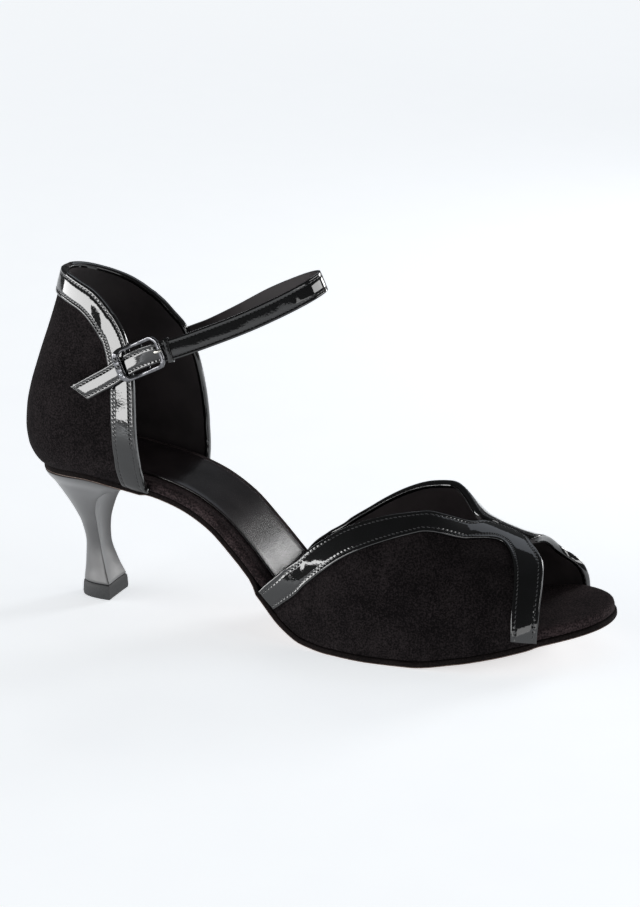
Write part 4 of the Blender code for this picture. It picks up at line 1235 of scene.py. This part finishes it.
# %% [markdown]
# ## The ankle strap
# The strap is a folded patent strip with a leather lining, sewn together near both edges. It is sewn on the
# counter's medial side, runs round the front of the ankle in a narrow bend, passes the buckle on the outer
# side and lies on the counter with a slanted tail. The same stops as in the CAD model carry it, and a
# section with rounded edges and two seam grooves is drawn again along them.

# %% The strap's line
def counter_side(x, z, side):
    foot = profile(x) + SOLE_THICKNESS + GAP
    share = (z - foot) / (BACK_HEIGHT - foot)
    ahead = min(max((x - counter_back(share)) / HEEL_ROUND, 0.0), 1.0)
    return side * counter_half(x, share, side) * round_off(ahead)


TAB_THICKNESS = 0.0008
LAST_STOP = len(STRAP) - 1
WALK_STEPS = 600


@lru_cache(maxsize=None)
def stop_place(n):
    """Where the strap's middle is at a stop, and how much it leans to the medial side there."""
    row = STRAP[min(max(n, 0), LAST_STOP)]
    x = row.forward * SHOE_LENGTH
    z = row.height * BACK_HEIGHT
    if not row.rests:
        return x, row.side * BALL_WIDTH, z, 0.0
    side = MEDIAL if row.side > 0 else LATERAL
    low = counter_side(x, z - STRAP_WIDTH / 2, side)
    high = counter_side(x, z + STRAP_WIDTH / 2, side)
    lean = (high - low) / STRAP_WIDTH
    under = UPPER_WALL + GAP + TRIM_THICKNESS + GAP
    if side == LATERAL:
        under += TAB_THICKNESS + GAP
    return x, (low + high) / 2 + side * (under + STRAP_THICKNESS / 2) * math.hypot(1, lean), z, lean


def strap_values(at):
    k = min(max(int(at), 0), LAST_STOP - 1)
    rows = [stop_place(n) for n in range(k - 1, k + 3)]
    return [bent(*values, at - k) for values in zip(*rows)]


@lru_cache(maxsize=None)
def strap_frame(at):
    """Middle point, direction, width direction and outward direction of the strap."""
    ahead = Vector(strap_values(min(at + 0.05, LAST_STOP))[:3])
    along = (ahead - Vector(strap_values(max(at - 0.05, 0))[:3])).normalized()
    *middle, lean = strap_values(at)
    wide = Vector((-math.sin(STRAP_SLOPE), lean, math.cos(STRAP_SLOPE)))
    wide = (wide - along * wide.dot(along)).normalized()
    return Vector(middle), along, wide, wide.cross(along)


walk = [LAST_STOP * i / WALK_STEPS for i in range(WALK_STEPS + 1)]
lengths = [0.0]
for a, b in zip(walk, walk[1:]):
    lengths.append(lengths[-1] + (strap_frame(b)[0] - strap_frame(a)[0]).length)


def strap_at(length):
    """The place, counted in stops, at a length from the strap's sewn end."""
    k = min(max(bisect_right(lengths, length) - 1, 0), WALK_STEPS - 1)
    part = (length - lengths[k]) / (lengths[k + 1] - lengths[k])
    return walk[k] + (walk[k + 1] - walk[k]) * min(max(part, 0.0), 1.0)


BUCKLE_LENGTH = min(zip(walk, lengths), key=lambda pair: abs(pair[0] - BUCKLE_STOP))[1]
print("strap length:", round(lengths[-1] * 1000, 1), "mm")

# %% The strap itself
TAIL_CUT = 0.0040
TAIL_SLANT = 1.8
ROW_ROOM = 2.4
STRAP_FACE_STEPS = 20
half = STRAP_WIDTH / 2
thick = STRAP_THICKNESS / 2
total = lengths[-1]


def strap_low(at):
    """How low the strap's lower edge is at a place: it rises along the slanted tail."""
    tail = max(0.0, 1 - (strap_frame(LAST_STOP)[0] - strap_frame(at)[0]).length / TAIL_CUT)
    return -half + TAIL_SLANT * half * tail


def strap_section():
    """The section as (share of the width, inset from the nearer edge, height over the middle, layer)."""
    shares = [i / STRAP_FACE_STEPS for i in range(1, STRAP_FACE_STEPS)]
    rim = ((0.00018, thick - 0.00004, 0), (0.00003, thick - 0.0002, 0), (0.0, 0.0002, 0), (0.0001, 0.0, 0))
    rim += ((0.0001, -0.0001, 1), (0.00002, -0.0003, 1), (0.00018, -thick, 1))
    section = [(share, 0.0, thick, 0) for share in shares]
    section += [(1.0, *stop) for stop in rim]
    section += [(1 - share, 0.0, -thick, 1) for share in shares]
    return section + [(0.0, *stop) for stop in rim[::-1]]


section = strap_section()


def strap_place(u, v):
    length = total * u
    at = strap_at(length)
    middle, along, wide, out = strap_frame(at)
    share, inset, height, layer = section[int(round(v * len(section))) % len(section)]
    low = strap_low(at)
    across = low + (half - low) * share + (inset if share == 0.0 else -inset if share == 1.0 else 0.0)
    if height > thick - 0.0001:
        room = min(across - low, half - across)
        height += 0.0001 * math.sin(math.pi * share) - groove(room - SEAM_INSET, length)
    return middle + wide * across + out * height


def strap_paint(u, v):
    return section[int(v * len(section)) % len(section)][3]


mesh = closed(grid(460, len(section), strap_place, strap_paint))
worn_by_foot(fixed(piece("ankle_strap_patent", mesh, PATENT, LINING), 70), "patent_leather", "ankle_strap")

# %% Stitches of the strap
def low_row(t, side):
    at = strap_at(t * total)
    middle, along, wide, out = strap_frame(at)
    return middle + wide * (strap_low(at) + SEAM_INSET + side) + out * (thick - 0.00005)


def high_row(t, side):
    middle, along, wide, out = strap_frame(strap_at(t * total))
    return middle + wide * (half - SEAM_INSET + side) + out * (thick - 0.00005)


def strap_rows(t):
    """Both rows, or none where the slanted tail has no room for them."""
    room = half - strap_low(strap_at(t * total))
    return (low_row, high_row) if room > ROW_ROOM * SEAM_INSET else ()


sewn("ankle_strap_stitches", total, total - SEAM_INSET, strap_rows)

# %% [markdown]
# ## The buckle
# The frame is one casting: two slim rails, a slim bar under the prong's end and a broad bar with three
# stones. Its outline is a rounded rectangle, and a section with soft corners follows it. All of it is
# placed by the strap's frame at the buckle: forward to the tail, up across the strap, and out from it.

# %% Places on the buckle
FRAME_LENGTH = 0.0196
FRAME_HEIGHT = 0.0132
FRAME_BAR = 0.0017
FRAME_DEPTH = 0.0016
FRAME_CORNER = 0.0030
TAIL_BAR_WIDTH = 0.0033
BAR_CLEARANCE = 0.0005
HINGE_BAR = 0.0016
PRONG_BAR = 0.0013
KEEPER_WIDTH = 0.0019
KEEPER_WALL = 0.0006
STONE_SIZE = 0.0021
STONE_PITCH = 0.0029
SOFT_CORNER = 0.7
CRISP_CORNER = 0.35
REACH = (FRAME_LENGTH - FRAME_BAR) / 2
RAIL_LIFT = -STRAP_THICKNESS / 2
BAR_LIFT = FRAME_DEPTH / 2 + BAR_CLEARANCE
HINGE = -STRAP_THICKNESS - GAP - PRONG_BAR - GAP / 2 - HINGE_BAR / 2


def on_buckle(x, y, z):
    middle, along, wide, out = strap_frame(BUCKLE_STOP)
    return middle + along * x + wide * y + out * (z + thick)


def on_strap(x, y, z):
    middle, along, wide, out = strap_frame(strap_at(BUCKLE_LENGTH + x))
    return middle + wide * y + out * (z + thick)


def loop_point(length, height, corner, t):
    """A point and its outward direction at a share of the way round a rounded rectangle."""
    straights = (height - 2 * corner, length - 2 * corner)
    arc = math.pi / 2 * corner
    way = t % 1.0 * (2 * sum(straights) + 4 * arc)
    for k in range(4):
        angle = math.pi / 2 * k
        ahead = Vector((-math.sin(angle), math.cos(angle)))
        out = Vector((math.cos(angle), math.sin(angle)))
        run = straights[k % 2]
        far = (length, height)[k % 2] / 2
        if way <= run:
            return out * far + ahead * (way - run / 2), out
        way -= run
        if way <= arc:
            turn = angle + way / corner
            out_now = Vector((math.cos(turn), math.sin(turn)))
            centre = out * (far - corner) + ahead * (run / 2)
            return centre + out_now * corner, out_now
        way -= arc
    return Vector((length / 2, -straights[0] / 2)), Vector((1, 0))


print("buckle", round(FRAME_LENGTH * 1000, 1), "by", round(FRAME_HEIGHT * 1000, 1), "mm")

# %% Frame
def frame_place(u, v):
    point, out = loop_point(FRAME_LENGTH - FRAME_BAR, FRAME_HEIGHT - FRAME_BAR, FRAME_CORNER, u)
    lift = RAIL_LIFT + (BAR_LIFT - RAIL_LIFT) * min(1.0, abs(point.x) / (REACH * 0.9)) ** 2
    broad = FRAME_BAR + (TAIL_BAR_WIDTH - FRAME_BAR) * max(0.0, point.x / REACH) ** 6
    across = broad / 2 * powered(math.cos(2 * math.pi * v), SOFT_CORNER)
    height = FRAME_DEPTH / 2 * powered(math.sin(2 * math.pi * v), SOFT_CORNER)
    return on_buckle(point.x + out.x * across, point.y + out.y * across, lift + height)


ROUND_END = ((0.15, 0.96), (0.35, 0.8), (0.5, 0.5))


def tube(mesh, points, radius, sides=16):
    """Extrudes a circle along a line of points, with slightly rounded ends, into a mesh."""
    side = (points[1] - points[0]).normalized().orthogonal().normalized()
    rings = []
    for i, point in enumerate(points):
        along = (points[min(i + 1, len(points) - 1)] - points[max(i - 1, 0)]).normalized()
        side = (side - along * side.dot(along)).normalized()
        rings.append((point, side, along.cross(side), along))

    def end(ring, sign):
        point, a, b, along = ring
        return [(point + along * radius * up * sign, a, b, wide) for up, wide in ROUND_END]

    whole = end(rings[0], -1)[::-1] + [(*ring[:3], 1.0) for ring in rings] + end(rings[-1], 1)

    def place(u, v):
        point, a, b, wide = whole[int(round(u * (len(whole) - 1)))]
        angle = 2 * math.pi * v
        return point + (a * math.cos(angle) + b * math.sin(angle)) * radius * wide

    added(mesh, closed(grid(len(whole) - 1, sides, place)))


rails = (FRAME_HEIGHT - FRAME_BAR) / 2
mesh = closed(grid(180, 24, frame_place))
corners = ((-rails, RAIL_LIFT), (-rails, HINGE), (rails, HINGE), (rails, RAIL_LIFT))
tube(mesh, softened([on_buckle(0, y, z) for y, z in corners], 3), HINGE_BAR / 2)
worn_by_foot(fixed(piece("buckle_frame_cast", mesh, GUNMETAL), 50), "buckle_metal", "buckle_frame")

# %% Prong and keeper
EYE_START = -125
EYE_TURN = 215
EYE_STEPS = 7
eye = (HINGE_BAR + PRONG_BAR + GAP) / 2
under = -STRAP_THICKNESS - GAP - PRONG_BAR / 2
over = BAR_LIFT + (FRAME_DEPTH + PRONG_BAR) / 2 + GAP / 2
clear = (FRAME_BAR + PRONG_BAR) / 2 + GAP
turns = [math.radians(EYE_START + EYE_TURN * i / EYE_STEPS) for i in range(EYE_STEPS + 1)]
path = [(eye * math.cos(turn), HINGE + eye * math.sin(turn)) for turn in turns]
path += [(-REACH * 0.4, under), (clear * 1.9 - REACH, under), (clear * 1.55 - REACH, -thick)]
path += [(clear * 1.25 - REACH, BAR_LIFT), (clear * 0.8 - REACH, over), (-REACH, over)]
path += [(-clear * 0.5 - REACH, over - GAP / 2)]
mesh = bmesh.new()
tube(mesh, softened([on_buckle(x, 0, z) for x, z in path], 3), PRONG_BAR / 2, 14)
worn_by_foot(fixed(piece("buckle_prong_wire", mesh, PRONG_STEEL), 60), "buckle_metal", "buckle_prong")


def keeper_place(u, v):
    room = 2 * GAP + KEEPER_WALL
    point, out = loop_point(STRAP_WIDTH + room, STRAP_THICKNESS + room, KEEPER_WALL, u)
    x = KEEPER_WIDTH / 2 * powered(math.cos(2 * math.pi * v), CRISP_CORNER)
    up = KEEPER_WALL / 2 * powered(math.sin(2 * math.pi * v), CRISP_CORNER)
    middle = -REACH - FRAME_BAR / 2 - GAP - KEEPER_WIDTH / 2
    return on_strap(middle + x, point.x + out.x * up, point.y + out.y * up - thick)


keeper = piece("keeper_band", closed(grid(96, 20, keeper_place)), PATENT)
worn_by_foot(fixed(keeper, 60), "patent_leather", "strap_keeper")

# %% Stones in their bezels
def stone(name, step, finish):
    """A half sunk dome of glass on the broad bar, in a ring of the casting's metal."""
    mesh = bmesh.new()
    middle, along, wide, out = strap_frame(BUCKLE_STOP)
    seat = Matrix((along, wide, out)).transposed().to_4x4()
    seat.translation = on_buckle(REACH, step * STONE_PITCH, BAR_LIFT + FRAME_DEPTH / 2 - 0.0001)
    dome = seat @ Matrix.Diagonal((1, 1, 0.75, 1))
    bmesh.ops.create_uvsphere(mesh, u_segments=10, v_segments=8, radius=STONE_SIZE * 0.40, matrix=dome)

    def bezel(u, v):
        turn, angle = 2 * math.pi * u, 2 * math.pi * v
        reach = STONE_SIZE * 0.46 + 0.00014 * math.cos(angle)
        height = 0.00012 + 0.0003 * math.sin(angle)
        return seat @ Vector((reach * math.cos(turn), reach * math.sin(turn), height))

    added(mesh, closed(grid(28, 10, bezel, lambda u, v: 1)))
    made = fixed(piece("stone_in_bezel_" + name, mesh, finish, GUNMETAL), 22)
    worn_by_foot(made, "stone_glass", "buckle_stone_" + name)


stone("upper", 1, JET)
stone("middle", 0, JET)
stone("lower", -1, FOILED)

# %% The tab that holds the buckle
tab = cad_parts["buckle_tab"]
for slot in tab.material_slots:
    slot.material = LINING
print("the CAD tab stays, in lining leather")

# %% [markdown]
# ## Floor and light
# The shoe stands in a plain pale studio, on a sheet of paper that runs on behind it and glows more with
# distance, so that shadows stay faint. A long, low strip light at the left lies mirrored along the bands.
# It is in three pieces, because a gap low down keeps the foot of the vamp's band dark. A soft light hangs
# behind and above, a long one at the right of the ankle, and two pale cards brighten the heel and toe.

# %% Paper floor
PAPER, tree, shader, place = surface("Matt studio paper")
fibres = noise(tree, place, 30)
reach = node(tree, "VectorMath", {"operation": "LENGTH"}, {"Vector": place}).outputs["Value"]
setting(shader, Base_Color=toned(tree, fibres, (0.3, "#f2f6fa"), (0.7, "#f5f9fc")))
setting(shader, Emission_Strength=spread(tree, reach, 0.62, 0.82, 0.3, 2.0))
setting(shader, Roughness=0.9, Specular_IOR_Level=0.1, Emission_Color=linear("#f6f8fa"))
mesh = bmesh.new()
bmesh.ops.create_grid(mesh, x_segments=1, y_segments=1, size=6.0)
floor = piece("paper_floor", mesh, PAPER, moved=False)

# %% Lights
WHITE = "#ffffff"
SKY_WHITE = "#eef5ff"
Light = namedtuple("Light", "name place aim size power colour")
LIGHTS = (
    Light("strip_left_back", (-1.447, -0.514, 0.25), (-0.659, 0.102, 0.25), (1.57, 0.33), 15.1, WHITE),
    Light("strip_left_front", (-0.557, -1.653, 0.25), (0.231, -1.037, 0.25), (0.74, 0.33), 7.1, WHITE),
    Light("strip_left_gap", (-0.874, -1.247, 0.397), (-0.086, -0.631, 0.397), (0.29, 0.08), 0.7, WHITE),
    Light("behind_and_above", (0.15, 1.5, 1.6), (0.1, 0.2, 0.0), (2.2, 0.9), 4.5, SKY_WHITE),
    Light("right_of_the_ankle", (1.3, 0.05, 0.58), (0.09, 0.0, 0.13), (1.4, 0.2), 5, WHITE),
    Light("pale_card_behind", (0.55, 0.76, 0.26), (0.085, 0.0, 0.03), (0.28, 0.22), 2.6, WHITE),
    Light("pale_card_in_front", (0.9, -1.2, 0.09), (0.17, 0.0, 0.05), (0.9, 0.26), 1.5, WHITE),
)
for light in LIGHTS:
    data = bpy.data.lights.new(light.name, "AREA")
    data.shape = "RECTANGLE"
    data.size, data.size_y = light.size
    data.energy = light.power
    data.color = linear(light.colour)[:3]
    made = bpy.data.objects.new(light.name, data)
    made.location = light.place
    made.rotation_euler = (Vector(light.place) - Vector(light.aim)).to_track_quat("Z", "Y").to_euler()
    bpy.context.scene.collection.objects.link(made)

world = bpy.data.worlds.new("studio")
world.use_nodes = True
background = world.node_tree.nodes["Background"]
setting(background, Color=linear("#f2f6f9"), Strength=0.08)
bpy.context.scene.world = world
bpy.context.scene.view_settings.view_transform = "Standard"
print("soft lights:", len(LIGHTS))
